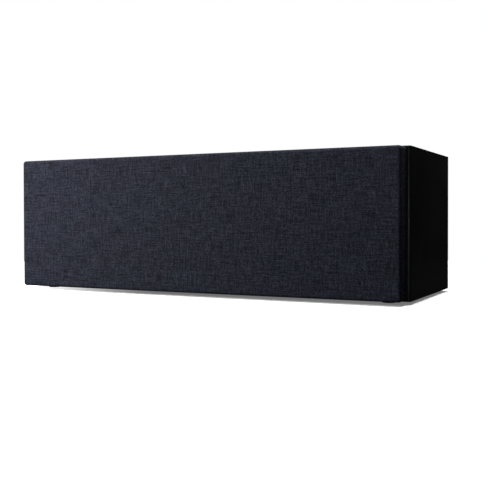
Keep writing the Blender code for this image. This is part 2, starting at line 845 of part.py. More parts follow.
def build_tweeter(side, axis):
    opening = DOME_RADIUS + DOME_CLEARANCE
    turned(
        f"tweeter_{side}_faceplate",
        [
            (opening, -FLANGE_THICKNESS + HORN_LIP),
            (TWEETER_RADIUS * 0.60, -HORN_BEND),
            (TWEETER_RADIUS * 0.74, 0),
            (TWEETER_RADIUS, 0),
            (TWEETER_RADIUS, -FLANGE_THICKNESS),
            (opening, -FLANGE_THICKNESS),
        ],
        PLASTIC,
        axis,
    )
    skin = SKIN * 0.75
    base = -FLANGE_THICKNESS
    curve = (DOME_RADIUS**2 + DOME_RISE**2) / (2 * DOME_RISE)
    spread = math.degrees(math.asin(DOME_RADIUS / curve))
    centre = base + DOME_RISE - curve
    outside = arc((0, centre), curve, 90, 90 - spread, 4)
    inside_spread = math.degrees(math.asin((DOME_RADIUS - skin) / (curve - skin)))
    inside = arc((0, centre), curve - skin, 90 - inside_spread, 90, 4)
    outside[0] = (0, outside[0][1])
    inside[-1] = (0, inside[-1][1])
    skirt = base - DOME_SKIRT
    turned(
        f"tweeter_{side}_dome",
        [*outside, (DOME_RADIUS, skirt), (DOME_RADIUS - skin, skirt), *inside],
        CLOTH,
        axis,
    )
    top = -FLANGE_THICKNESS - JOINT_GAP
    pole_top = base - TWEETER_POLE_DROP
    groove_in, groove_out = DOME_RADIUS - skin - TWEETER_GAP, DOME_RADIUS + TWEETER_GAP
    groove_floor = skirt - TWEETER_GROOVE
    turned(
        f"tweeter_{side}_motor",
        [
            (0, pole_top),
            (groove_in, pole_top),
            (groove_in, groove_floor),
            (groove_out, groove_floor),
            (groove_out, top),
            (tweeter_motor_radius(), top),
            (tweeter_motor_radius(), -TWEETER_MOTOR_DEPTH),
            (0, -TWEETER_MOTOR_DEPTH),
        ],
        FERRITE,
        axis,
    )


# ------------------------------------------------------------------ rear ports
def build_port(side, axis):
    outer = PORT_BORE + PORT_WALL
    rim = outer + PORT_FLANGE
    lip = JOINT_GAP + PORT_LIP
    curve = arc((PORT_BORE + PORT_FLANGE, lip - PORT_FLANGE), PORT_FLANGE, 180, 90, 4)
    turned(
        f"port_{side}",
        [
            curve[-1],
            (rim, lip - PORT_LIP / 2),
            (rim, JOINT_GAP),
            (outer, JOINT_GAP),
            (outer, -PORT_LENGTH),
            (PORT_BORE, -PORT_LENGTH),
            *curve[:-1],
        ],
        PLASTIC,
        axis,
    )


# ------------------------------------------------------------------ amplifier module
def socket_places():
    """Z of each socket in the column beside the circuit board, from the top down."""
    heights = (2 * BUTTON_RADIUS, AUX_SIZE[2], OPTICAL_SIZE[2], HDMI_SIZE[2])
    names = ("button", "aux", "optical", "hdmi")
    return dict(zip(names, (Z_MID + z for z in stacked(heights, OPENING_HEIGHT))))


def power_places():
    """Z of the rocker and of the mains inlet below it."""
    heights = (ROCKER_SIZE[2], INLET_SIZE[2])
    return dict(zip(("rocker", "inlet"), (Z_MID + z for z in stacked(heights, OPENING_HEIGHT))))


def socket_x(size):
    return BOARD_X - JOINT_GAP - size[0] / 2


def socket_body(name, size, place, finish=PLASTIC):
    """A box whose rear end is level with the plate's outer face."""
    x, z = place
    return block(name, size, (x, Y_PLATE_FACE - size[1] / 2, z), finish)


def hollow(target, name, size, place, mouth=Y_PLATE_FACE):
    """Cuts a pocket of that size, open at the rear, into a socket."""
    x, z = place
    pocket = block(
        name,
        (size[0], size[1] + CUT_PAST, size[2]),
        (x, mouth - size[1] / 2 + CUT_PAST / 2, z),
        None,
        cutter=True,
    )
    boolean(target, pocket)


def build_amplifier_plate(screw_axes):
    plate = block(
        "amplifier_plate",
        (PLATE_WIDTH, PLATE_SHEET, PLATE_HEIGHT),
        (0, Y_PLATE_BACK + PLATE_SHEET / 2, Z_MID),
        BLACK_STEEL,
    )
    column, power = socket_places(), power_places()
    windows = [
        ("hdmi", HDMI_SIZE, socket_x(HDMI_SIZE), column["hdmi"]),
        ("optical", OPTICAL_SIZE, socket_x(OPTICAL_SIZE), column["optical"]),
        ("aux", AUX_SIZE, socket_x(AUX_SIZE), column["aux"]),
        ("inlet", INLET_SIZE, POWER_X, power["inlet"]),
        ("rocker", ROCKER_SIZE, POWER_X, power["rocker"]),
    ]
    for name, size, x, z in windows:
        grown = (size[0] + 2 * SOCKET_CLEARANCE, 4 * PLATE_SHEET, size[2] + 2 * SOCKET_CLEARANCE)
        window = block(f"{name}_window", grown, (x, Y_PLATE_FACE, z), None, cutter=True)
        boolean(plate, window)
    button_axis = axis_empty(
        "button_hole_axis", (socket_x(AUX_SIZE), Y_PLATE_FACE, column["button"]), (0, 1, 0)
    )
    boolean(
        plate,
        rod("button_hole", BUTTON_RADIUS + SOCKET_CLEARANCE, -3 * PLATE_SHEET, PLATE_SHEET,
            parent=button_axis, cutter=True),
    )
    for axis in screw_axes:
        boolean(
            plate,
            rod(f"{axis.name}_hole", SCREW_RADIUS + JOINT_GAP, -3 * PLATE_SHEET, PLATE_SHEET,
                parent=axis, cutter=True),
        )


def build_sockets():
    column, power = socket_places(), power_places()
    hdmi_place = (socket_x(HDMI_SIZE), column["hdmi"])
    hdmi = socket_body("hdmi_socket", HDMI_SIZE, hdmi_place, STEEL)
    inside = (HDMI_SIZE[0] - 2 * SOCKET_WALL, HDMI_DEPTH, HDMI_SIZE[2] - 2 * SOCKET_WALL)
    slot = (inside[0] / 2 - SOCKET_WALL, inside[1], inside[2])
    for sign, name in ((-1, "hdmi_slot_a"), (1, "hdmi_slot_b")):
        offset = sign * (inside[0] / 2 - slot[0] / 2)
        hollow(hdmi, name, slot, (hdmi_place[0] + offset, hdmi_place[1]))
    optical_place = (socket_x(OPTICAL_SIZE), column["optical"])
    optical = socket_body("optical_socket", OPTICAL_SIZE, optical_place)
    hollow(optical, "optical_well", optical_well(), optical_place)
    aux_place = (socket_x(AUX_SIZE), column["aux"])
    aux = socket_body("aux_socket", AUX_SIZE, aux_place)
    bore = axis_empty("aux_axis", (aux_place[0], Y_PLATE_FACE, aux_place[1]), (0, 1, 0))
    boolean(aux, rod("aux_bore", AUX_BORE, -AUX_DEPTH, CUT_PAST, parent=bore, cutter=True))
    inlet = socket_body("mains_inlet", INLET_SIZE, (POWER_X, power["inlet"]))
    hollow(inlet, "inlet_well", INLET_WELL, (POWER_X, power["inlet"]))
    for sign, name in ((-1, "inlet_pin_a"), (1, "inlet_pin_b")):
        pin_axis = axis_empty(
            f"{name}_axis",
            (POWER_X + sign * INLET_PIN_PITCH / 2, Y_PLATE_FACE, power["inlet"]),
            (0, 1, 0),
        )
        pin = rod(name, INLET_PIN_RADIUS, -INLET_WELL[1] - CUT_PAST, -INLET_PIN_SETBACK,
                  parent=pin_axis, steps=8, cutter=True)
        boolean(inlet, pin, "UNION")


def optical_well():
    """The inside of the optical socket, deep enough for its shutter to swing in."""
    side = OPTICAL_SIZE[2] - 4 * SOCKET_WALL
    return (side, side + OPTICAL_SWING, side)


def build_optical_shutter():
    """A flap just inside the well's mouth, hung on its top edge."""
    well = optical_well()
    thickness = SOCKET_WALL
    side = well[2] - 2 * SOCKET_CLEARANCE
    hinge = axis_empty("optical_hinge", optical_hinge_place(), (0, 0, 1))
    block(
        "optical_shutter",
        (side, thickness, side - SOCKET_CLEARANCE),
        (0, 0, -(side - SOCKET_CLEARANCE) / 2 + thickness),
        PLASTIC,
        hinge,
    )


def optical_hinge_place():
    well = optical_well()
    top = socket_places()["optical"] + well[2] / 2
    return (
        socket_x(OPTICAL_SIZE),
        Y_PLATE_FACE - 2 * SOCKET_WALL,
        top - SOCKET_CLEARANCE - 2 * SOCKET_WALL,
    )


def rocker_place():
    return (POWER_X, Y_PLATE_FACE, power_places()["rocker"])


def build_rocker():
    """The switch's bezel and body with a V-shaped paddle on a cross axis, pressed to off."""
    x, y, z = rocker_place()
    body = socket_body("power_switch", ROCKER_SIZE, (x, z))
    wall = 2 * SOCKET_WALL
    well = (ROCKER_SIZE[0] - 2 * wall, ROCKER_WELL, ROCKER_SIZE[2] - 2 * wall)
    hollow(body, "rocker_well", well, (x, z))
    half = well[2] / 2 - 2 * SOCKET_CLEARANCE
    rise = half * math.tan(ROCKER_TILT)
    keel = half * 0.8
    outline = [(-half, rise), (0, 0), (half, rise), (keel, -ROCKER_THICKNESS),
               (-keel, -ROCKER_THICKNESS)]
    curve = bpy.data.curves.new("power_rocker", "CURVE")
    curve.dimensions = "2D"
    curve.fill_mode = "BOTH"
    curve.extrude = well[0] / 2 - SOCKET_CLEARANCE
    spline = curve.splines.new("POLY")
    spline.points.add(len(outline) - 1)
    spline.use_cyclic_u = True
    for point, (along, out) in zip(spline.points, outline):
        point.co = (along, out, 0, 1)
    curve.materials.append(PLASTIC)
    paddle = bpy.data.objects.new("power_rocker", curve)
    PARTS.objects.link(paddle)
    # The outline's X runs down world Z and its Y points out of the back, along world +Y.
    turn = Matrix(((0, 0, 1), (0, 1, 0), (-1, 0, 0)))
    tilt = Matrix.Rotation(-ROCKER_TILT, 3, "X")
    paddle.rotation_euler = (tilt @ turn).to_euler()
    paddle.location = (x, y - ROCKER_SETBACK, z)


def build_button():
    place = (socket_x(AUX_SIZE), Y_PLATE_FACE, socket_places()["button"])
    axis = axis_empty("button_axis", place, (0, 1, 0))
    stem = PLATE_SHEET + JOINT_GAP
    turned(
        "pairing_button",
        [
            (0, BUTTON_PROUD),
            (BUTTON_RADIUS * 0.8, BUTTON_PROUD),
            (BUTTON_RADIUS, BUTTON_PROUD * 0.8),
            (BUTTON_RADIUS, -stem - 2 * BUTTON_PROUD),
            (0, -stem - 2 * BUTTON_PROUD),
        ],
        PLASTIC,
        axis,
        SMALL_STEPS,
    )


def build_board():
    """The circuit board stands on edge behind the sockets and carries the power parts."""
    rear = Y_PLATE_BACK - BOARD_SETBACK
    height = OPENING_HEIGHT - 2 * BOARD_CLEARANCE
    block(
        "circuit_board",
        (BOARD_THICKNESS, BOARD_DEPTH, height),
        (BOARD_X + BOARD_THICKNESS / 2, rear - BOARD_DEPTH / 2, Z_MID),
        CIRCUIT,
    )
    face = BOARD_X - JOINT_GAP
    front = rear - BOARD_DEPTH
    block(
        "transformer",
        CORE_SIZE,
        (face - CORE_SIZE[0] / 2, front + CORE_SIZE[1] / 2 + CORE_INSET, Z_MID - CORE_DROP),
        FERRITE,
        radius=CORE_EDGE,
    )
    build_heat_sink(rear - BOARD_DEPTH / 2)


def build_heat_sink(y):
    """A comb of fins on the far side of the board, as one extruded outline."""
    start = BOARD_X + BOARD_THICKNESS + JOINT_GAP
    width = (FIN_COUNT - 1) * FIN_PITCH + FIN
    outline = [(0, 0)]
    for number in range(FIN_COUNT):
        low = number * FIN_PITCH
        outline += [(FIN_REACH, low), (FIN_REACH, low + FIN)]
        if number < FIN_COUNT - 1:
            outline += [(FIN_BASE, low + FIN), (FIN_BASE, low + FIN_PITCH)]
    outline.append((0, width))
    curve = bpy.data.curves.new("heat_sink", "CURVE")
    curve.dimensions = "2D"
    curve.fill_mode = "BOTH"
    curve.extrude = FIN_LENGTH / 2
    spline = curve.splines.new("POLY")
    spline.points.add(len(outline) - 1)
    spline.use_cyclic_u = True
    for point, (out, along) in zip(spline.points, outline):
        point.co = (out, along - width / 2, 0, 1)
    curve.materials.append(ALUMINIUM)
    sink = bpy.data.objects.new("heat_sink", curve)
    PARTS.objects.link(sink)
    sink.location = (start, y, Z_MID)


def build_screws(axes):
    for axis in axes:
        top = SCREW_HEAD * 0.55
        turned(
            axis.name.replace("_axis", ""),
            [
                (0, top * 0.5),
                (SCREW_HEAD * 0.35, top * 0.5),
                (SCREW_HEAD * 0.40, top),
                (SCREW_HEAD * 0.75, top * 0.85),
                (SCREW_HEAD, JOINT_GAP),
                (SCREW_RADIUS, JOINT_GAP),
                (SCREW_RADIUS, -SCREW_LENGTH * 0.8),
                (0, -SCREW_LENGTH),
            ],
            STEEL,
            axis,
            SMALL_STEPS,
        )


def build_lens(axis):
    rod("sensor_lens", LENS_RADIUS, -BAFFLE_THICKNESS, 0, LENS, axis)


def build_leads():
    """One pair of wires a side, from the board through its divider to the woofer."""
    board_front = Y_PLATE_BACK - BOARD_SETBACK - BOARD_DEPTH
    for side, sign in SIDES:
        hole = lead_hole_place(sign)
        height = Z_MID + LEAD_START_RISE + 2 * sign * LEAD_RADIUS
        start = Vector((BOARD_X + BOARD_THICKNESS / 2, board_front - LEAD_TIP_GAP, height))
        terminal_x = WOOFER_X - SPIDER_RADIUS - LEAD_END_CLEARANCE
        end = Vector((sign * terminal_x, Y_FRONT + BASKET_DEPTH - LEAD_TIP_GAP, Z_MID))
        inward = Vector((-sign * 0.014, 0, 0))
        cable(
            f"speaker_lead_{side}",
            [
                start,
                start + Vector((sign * 0.002, -0.010, 0)),
                hole + inward,
                hole,
                hole - inward / 2,
                end + Vector((-sign * 0.003, 0.012, 0.008)),
                end,
            ],
            LEAD_RADIUS,
            RUBBER,
        )


# ------------------------------------------------------------------ assembly
def main():
    front, rear = (0, -1, 0), (0, 1, 0)
    woofers = [axis_empty(f"woofer_{s}_axis", (g * WOOFER_X, Y_FRONT, Z_MID), front)
               for s, g in SIDES]
    tweeters = [axis_empty(f"tweeter_{s}_axis", (g * TWEETER_X, Y_FRONT, Z_MID), front)
                for s, g in SIDES]
    peg_places = [(gx * OUTER_BAR_X, Z_MID + gz * PEG_Z) for gz in (1, -1) for _, gx in SIDES]
    cup_names = [f"grille_cup_{h}_{s}" for h in ("top", "bottom") for s, _ in SIDES]
    cups = [axis_empty(f"{n}_axis", (x, Y_FRONT, z), front)
            for n, (x, z) in zip(cup_names, peg_places)]
    ports = [axis_empty(f"port_{s}_axis", (g * PORT_X, Y_PANEL, Z_MID), rear) for s, g in SIDES]
    half_w = (PLATE_WIDTH - PLATE_LAP) / 2
    half_h = (PLATE_HEIGHT - PLATE_LAP) / 2
    screws = [
        axis_empty(f"plate_screw_{h}_{s}_axis",
                   (gx * half_w, Y_PLATE_FACE, Z_MID + gz * half_h), rear)
        for h, gz in (("top", 1), ("bottom", -1))
        for s, gx in SIDES
    ]
    lens = axis_empty("lens_axis", (0, Y_FRONT, Z_MID), front)

    build_cabinet()
    build_feet()
    build_baffle(woofers, tweeters, cups, lens)
    build_rear_panel(ports, screws)
    build_dividers()
    build_grille_frame(peg_places)
    build_grille_cloth()
    for name, axis in zip(cup_names, cups):
        build_cup(name, axis)
    for (side, _), axis in zip(SIDES, woofers):
        build_woofer(side, axis)
    for (side, _), axis in zip(SIDES, tweeters):
        build_tweeter(side, axis)
    for (side, _), axis in zip(SIDES, ports):
        build_port(side, axis)
    build_amplifier_plate(screws)
    build_sockets()
    build_optical_shutter()
    build_rocker()
    build_button()
    build_board()
    build_screws(screws)
    build_lens(lens)
    build_leads()


main()
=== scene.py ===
"""A compact one-box soundbar: satin black cabinet, slate linen grille, and its works inside.

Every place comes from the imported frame.  Metres, +Z up, and the grille faces -Y.
"""

import json
import math

import bmesh
import bpy
from mathutils import Matrix, Quaternion, Vector


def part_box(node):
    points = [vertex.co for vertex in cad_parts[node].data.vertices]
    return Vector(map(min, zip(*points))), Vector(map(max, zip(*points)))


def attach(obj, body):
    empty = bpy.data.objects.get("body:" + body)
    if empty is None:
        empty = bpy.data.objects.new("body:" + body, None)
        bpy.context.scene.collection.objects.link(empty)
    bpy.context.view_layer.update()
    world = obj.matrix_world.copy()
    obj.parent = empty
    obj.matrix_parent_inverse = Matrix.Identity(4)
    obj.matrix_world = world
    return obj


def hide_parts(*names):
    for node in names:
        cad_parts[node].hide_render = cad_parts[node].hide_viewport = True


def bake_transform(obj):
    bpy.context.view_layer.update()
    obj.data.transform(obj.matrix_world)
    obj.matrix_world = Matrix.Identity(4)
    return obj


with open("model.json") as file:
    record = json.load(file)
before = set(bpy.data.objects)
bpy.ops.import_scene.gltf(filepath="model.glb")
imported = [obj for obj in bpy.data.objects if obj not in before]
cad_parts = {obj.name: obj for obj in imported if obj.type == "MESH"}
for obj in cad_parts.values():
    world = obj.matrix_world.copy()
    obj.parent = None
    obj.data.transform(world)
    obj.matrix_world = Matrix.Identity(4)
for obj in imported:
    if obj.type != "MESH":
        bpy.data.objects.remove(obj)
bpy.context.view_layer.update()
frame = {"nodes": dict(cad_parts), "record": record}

FRONT = Vector((0, -1, 0))
REAR = Vector((0, 1, 0))
DOWN = Vector((0, 0, -1))
SIDES = (("left", -1), ("right", 1))
LEVELS = ("top", "bottom")
CORNERS = [(level, side) for level in LEVELS for side, _ in SIDES]
FINE_TURN = 96
SMALL_TURN = 32

# ---- places from the frame
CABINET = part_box("cabinet_sleeve")
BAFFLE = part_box("front_baffle")
BACK_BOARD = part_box("rear_panel")
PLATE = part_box("amplifier_plate")
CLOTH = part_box("grille_cloth")
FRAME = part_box("grille_frame")
Z_MID = (BAFFLE[0].z + BAFFLE[1].z) / 2
GAP = 0.0003


def middle(node):
    low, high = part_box(node)
    return (low + high) / 2


def span(node):
    low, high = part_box(node)
    return high - low


def measure(node):
    """A node's low and high corners, its middle, and its width and height."""
    low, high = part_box(node)
    return low, high, (low + high) / 2, high.x - low.x, high.z - low.z


# ---- sizes of the fine work
FRONT_EDGE_RADIUS = 0.0028
LONG_EDGE_RADIUS = 0.0008
CLOTH_EDGE_RADIUS = 0.0035
CLOTH_THICKNESS = 0.0005
CLOTH_TURN_IN = 0.0085
YARN_PITCH = 0.00105
FRAME_BORDER = 0.012
FRAME_BAR = 0.011
BAR_SETBACK = 0.004
INNER_BAR_X = 0.029
BAY_STEP = 0.0006
PEG_RADIUS = 0.0023
CUP_BORE = 0.0027
CUP_WALL = 0.0020
CUP_LIP = 0.0010
PATCH_SIZE = 0.030
SMOOTH_BELOW = math.radians(32)


# ---- shader sums
class Term:
    """A node's output that takes arithmetic; each sum adds its Math node."""

    def __init__(self, tree, socket):
        self.tree = tree
        self.socket = socket

    def calc(self, operation, *others, swap=False):
        node = self.tree.nodes.new("ShaderNodeMath")
        node.operation = operation
        terms = (*others, self) if swap else (self, *others)
        for place, term in zip(node.inputs, terms):
            if isinstance(term, Term):
                self.tree.links.new(term.socket, place)
            else:
                place.default_value = term
        return Term(self.tree, node.outputs[0])

    def __add__(self, other):
        return self.calc("ADD", other)

    __radd__ = __add__

    def __sub__(self, other):
        return self.calc("SUBTRACT", other)

    def __rsub__(self, other):
        return self.calc("SUBTRACT", other, swap=True)

    def __mul__(self, other):
        return self.calc("MULTIPLY", other)

    __rmul__ = __mul__

    def __truediv__(self, other):
        return self.calc("DIVIDE", other)

    def clamped(self):
        return self.calc("MAXIMUM", 0.0).calc("MINIMUM", 1.0)

    def stretched(self, low, high):
        """0 at low and 1 at high, held beyond them."""
        return ((self - low) * (1 / (high - low))).clamped()


class Finish:
    """A material in the making: a Principled shader and the nodes that feed it."""

    def __init__(self, name, **fixed):
        self.material = bpy.data.materials.new(name)
        self.material.use_nodes = True
        self.tree = self.material.node_tree
        self.shader = self.tree.nodes["Principled BSDF"]
        for socket, value in fixed.items():
            self.shader.inputs[socket.replace("_", " ")].default_value = value

    def plug(self, place, value):
        if isinstance(value, Term):
            self.tree.links.new(value.socket, place)
        elif place.type == "RGBA":
            place.default_value = (*value, 1.0)
        else:
            place.default_value = value

    def add(self, kind, settings=None, sockets=None, out=0):
        """A node of that kind: its settings first, then the values or links of its sockets."""
        node = self.tree.nodes.new("ShaderNode" + kind)
        for name, value in (settings or {}).items():
            setattr(node, name, value)
        for name, value in (sockets or {}).items():
            self.plug(node.inputs[name], value)
        return Term(self.tree, node.outputs[out])

    def mix(self, factor, first, second, blend="MIX"):
        """Two colours mixed by a factor."""
        settings = {"data_type": "RGBA", "blend_type": blend}
        return self.add("Mix", settings, {0: factor, 6: first, 7: second}, out=2)

    def noise(self, where, scale, detail=2.0, roughness=0.55, distortion=0.0):
        sockets = {
            "Vector": where, "Scale": scale, "Detail": detail, "Roughness": roughness,
            "Distortion": distortion,
        }
        return self.add("TexNoise", None, sockets)

    def feed(self, socket, value):
        self.plug(self.shader.inputs[socket], value)

    def bump(self, height, depth, strength=1.0):
        sockets = {"Height": height, "Distance": depth, "Strength": strength}
        self.feed("Normal", self.add("Bump", None, sockets))


# ---- finishes
def grained(name, dark, light, size, rough, depth, stretch=(1, 1, 1), **fixed):
    """A fine grain over broad patches: it moves the tone, the roughness and the surface."""
    make = Finish(name, **fixed)
    place = make.add("TexCoord", out="Object")
    drawn = make.add("Mapping", None, {"Vector": place, "Scale": stretch})
    fine = make.noise(drawn, 1 / size, 3.0, 0.6)
    broad = make.noise(place, 1 / PATCH_SIZE, 3.0)
    share = (fine * 0.55 + broad * 0.45).stretched(0.34, 0.66)
    make.feed("Base Color", make.mix(share, dark, light))
    make.feed("Roughness", share * (rough[1] - rough[0]) + rough[0])
    make.bump(fine, depth)
    return make.material


def vinyl_wrap():
    """Satin black vinyl with a shallow pebble grain, a little dust and faint rub marks."""
    make = Finish("satin_black_vinyl", Specular_IOR_Level=0.50)
    place = make.add("TexCoord", out="Object")
    cell_settings = {"feature": "SMOOTH_F1"}
    cells = make.add("TexVoronoi", cell_settings, {"Vector": place, "Scale": 1 / 0.0009})
    creases = make.noise(place, 1 / 0.0006, 3.0, 0.6)
    smears = make.noise(place, 1 / 0.045, 4.0, 0.6, 0.6)
    specks = make.noise(place, 1 / 0.0016, 1.0).stretched(0.72, 0.80)
    blend = smears.stretched(0.3, 0.7)
    tone = make.mix(blend, (0.0052, 0.0052, 0.0060), (0.0085, 0.0085, 0.0092))
    make.feed("Base Color", make.mix(specks * 0.35, tone, (0.030, 0.030, 0.031)))
    make.feed("Roughness", smears.stretched(0.25, 0.75) * 0.10 + creases * 0.08 + 0.30)
    make.bump(cells * 0.7 + creases * 0.3, 0.00009, 0.7)
    return make.material


def linen_cloth():
    """A plain weave of slubbed yarns, with painted shade in the gaps between them.  Its UV map is
    in metres along the unrolled cloth.
    """
    make = Finish("slate_linen", Specular_IOR_Level=0.08)
    laid = make.add("UVMap", {"uv_map": "weave"})
    split = make.add("SeparateXYZ", None, {"Vector": laid})
    across, up = split, Term(make.tree, split.socket.node.outputs[1])
    drift = make.noise(laid, 1 / 0.022, 2.0)
    lean = make.noise(laid, 1 / 0.031, 2.0, 0.5, 0.4)
    columns = (across + (drift - 0.5) * 0.0022) * (1 / YARN_PITCH)
    rows = (up + (lean - 0.5) * 0.0022) * (1 / YARN_PITCH)
    column, row = columns.calc("FLOOR"), rows.calc("FLOOR")
    over_column = (columns - column - 0.5) * math.pi
    over_row = (rows - row - 0.5) * math.pi
    warp_on_top = ((column + row) * 0.5).calc("FRACT") * 4.0 - 1.0

    def yarn_noise(x, y, z, scale=1.0, detail=2.0):
        spot = make.add("CombineXYZ", None, {"X": x, "Y": y, "Z": z})
        return make.noise(spot, scale, detail, 0.6)

    warp_slub = yarn_noise(column * 3.71, up * 70.0, 1.0)
    weft_slub = yarn_noise(across * 60.0, row * 3.71, 9.0)
    warp_dye = yarn_noise(column * 5.13, up * 260.0, 20.0, 1.0, 3.0)
    weft_dye = yarn_noise(across * 220.0, row * 5.13, 30.0, 1.0, 3.0)
    crown_row, crown_column = over_row.calc("COSINE"), over_column.calc("COSINE")
    warp_height = crown_column * (warp_on_top * crown_row * 0.5 + 0.5) * (warp_slub * 0.9 + 0.55)
    weft_height = crown_row * (0.5 - warp_on_top * crown_column * 0.5) * (weft_slub * 0.9 + 0.55)
    weft_shows = weft_height.calc("GREATER_THAN", warp_height)
    height = weft_height.calc("MAXIMUM", warp_height)
    dye = warp_dye + weft_shows * (weft_dye - warp_dye)
    slub = warp_slub + weft_shows * (weft_slub - warp_slub)
    streak_up = make.add("Mapping", None, {"Vector": laid, "Scale": (820.0, 60.0, 1.0)})
    streak_across = make.add("Mapping", None, {"Vector": laid, "Scale": (52.0, 820.0, 1.0)})
    streaks = make.noise(streak_up, 1.0, 1.0, 0.5) + make.noise(streak_across, 1.0, 1.0, 0.5)
    fleck = dye * 0.45 + slub * 0.45 + streaks * 0.65
    pale = fleck.stretched(0.84, 1.28)
    patch = make.noise(laid, 1 / 0.060, 3.0, 0.6).stretched(0.35, 0.65)
    dark = make.mix(patch, (0.0110, 0.0135, 0.0205), (0.0130, 0.0120, 0.0200))
    light = make.mix(patch, (0.050, 0.058, 0.082), (0.054, 0.054, 0.080))
    thread = make.mix(pale, dark, light)
    cell = make.add("CombineXYZ", None, {"X": column, "Y": row, "Z": 3.0})
    knot = make.add("TexWhiteNoise", {"noise_dimensions": "3D"}, {"Vector": cell})
    # Painted shade: the weave darkens where the yarns sink into the gaps between them; each
    # crossing also takes its own random tone.
    gap_shade_and_knot_tone = (height.stretched(0.05, 0.75) * 0.62 + 0.38) * (knot * 0.9 + 0.55)
    gap_shade_and_knot_colour = make.add("CombineColor", None, {"Red": gap_shade_and_knot_tone, "Green": gap_shade_and_knot_tone, "Blue": gap_shade_and_knot_tone})
    make.feed("Base Color", make.mix(1.0, thread, gap_shade_and_knot_colour, "MULTIPLY"))
    make.feed("Roughness", dye * 0.2 + 0.74)
    make.bump(height + dye * 0.25, 0.00028, 0.9)
    return make.material


def winding():
    """Fine enamelled wire, wound in level turns about the driver's axis, with painted shade in the
    grooves between the turns.
    """
    make = Finish("enamelled_copper", Metallic=1.0)
    place = make.add("TexCoord", out="Object")
    split = make.add("SeparateXYZ", None, {"Vector": place})
    along = Term(make.tree, split.socket.node.outputs[1])
    turns = (along * (2 * math.pi / 0.00035)).calc("SINE") * 0.5 + 0.5
    # Painted shade: each turn's colour darkens into the grooves between turns.
    make.feed("Base Color", make.mix(turns, (0.25, 0.075, 0.030), (0.72, 0.30, 0.14)))
    make.feed("Roughness", 0.45 - turns * 0.18)
    make.bump(turns, 0.00015, 0.8)
    return make.material


def lens_finish():
    make = Finish("smoked_lens", Coat_Weight=0.6, Specular_IOR_Level=0.6)
    place = make.add("TexCoord", out="Object")
    haze = make.noise(place, 1 / 0.004, 2.0)
    make.feed("Base Color", make.mix(haze, (0.020, 0.003, 0.004), (0.040, 0.008, 0.009)))
    make.feed("Roughness", haze * 0.10 + 0.06)
    return make.material


# Each slot's name, its dark and light tones, the grain's size, the roughness from dark to
# light, the bump's depth, and what else is fixed.
GRAINS = {
    "mdf_board": ("stained_fibreboard", (0.0075, 0.0072, 0.0070), (0.016, 0.0155, 0.015),
        0.0007, (0.55, 0.8), 0.00010, {}),
    "black_rubber": ("moulded_rubber", (0.0085, 0.0085, 0.0088), (0.016, 0.016, 0.0165),
        0.0005, (0.55, 0.80), 0.00005, dict(Specular_IOR_Level=0.35)),
    "black_plastic": ("spark_textured_plastic", (0.0085, 0.0085, 0.0090), (0.014, 0.014, 0.0145),
        0.0003, (0.36, 0.52), 0.00003, {}),
    "black_steel": ("powder_coated_steel", (0.0090, 0.0090, 0.0095), (0.0165, 0.0165, 0.0170),
        0.0004, (0.38, 0.55), 0.00005, {}),
    "zinc_steel": ("zinc_plate", (0.36, 0.36, 0.37), (0.62, 0.61, 0.60),
        0.0004, (0.24, 0.42), 0.00001, dict(Metallic=1.0)),
    "ferrite": ("sintered_ferrite", (0.020, 0.020, 0.021), (0.048, 0.047, 0.046),
        0.0003, (0.45, 0.65), 0.00003, {}),
    "transformer_core": ("varnished_laminations", (0.050, 0.036, 0.020), (0.12, 0.095, 0.060),
        0.0004, (0.30, 0.50), 0.00006, dict(stretch=(1, 12, 1))),
    "cone_pulp": ("pressed_pulp", (0.010, 0.010, 0.011), (0.026, 0.026, 0.028),
        0.0009, (0.60, 0.85), 0.00012, {}),
    "spider_linen": ("treated_linen", (0.32, 0.22, 0.07), (0.58, 0.44, 0.18),
        0.0006, (0.7, 0.9), 0.00010, {}),
    "tweeter_silk": ("coated_silk", (0.011, 0.011, 0.012), (0.026, 0.026, 0.028),
        0.0004, (0.40, 0.60), 0.00006, {}),
    "heat_sink_aluminium": ("anodised_aluminium", (0.55, 0.56, 0.57), (0.72, 0.73, 0.74),
        0.0004, (0.28, 0.42), 0.00002, dict(stretch=(1, 1, 0.03), Metallic=1.0)),
    "circuit_board": ("solder_resist", (0.010, 0.055, 0.028), (0.018, 0.095, 0.048),
        0.0012, (0.25, 0.45), 0.00003, {}),
    "gold_contact": ("gilt_contact", (0.70, 0.48, 0.16), (0.90, 0.66, 0.28),
        0.0004, (0.2, 0.3), 0.00001, dict(Metallic=1.0)),
    "white_print": ("screen_print", (0.42, 0.42, 0.42), (0.62, 0.62, 0.62),
        0.0003, (0.5, 0.7), 0.00001, {}),
    "felt": ("black_felt", (0.006, 0.006, 0.0065), (0.020, 0.020, 0.021),
        0.0006, (0.9, 1.0), 0.00020, {}),
}


def make_finishes():
    made = {slot: grained(*row[:-1], **row[-1]) for slot, row in GRAINS.items()}
    made["grille_cloth"] = linen_cloth()
    made["black_vinyl"] = vinyl_wrap()
    made["copper_coil"] = winding()
    made["smoked_lens"] = lens_finish()
    return made


FINISHES = make_finishes()


# ---- making pieces
def mesh_of(name, shape):
    """The bmesh as a mesh.  The bmesh is used up."""
    mesh = bpy.data.meshes.new(name)
    shape.to_mesh(mesh)
    shape.free()
    return mesh


def put(name, data):
    """A new object in the scene."""
    item = bpy.data.objects.new(name, data)
    bpy.context.scene.collection.objects.link(item)
    return item


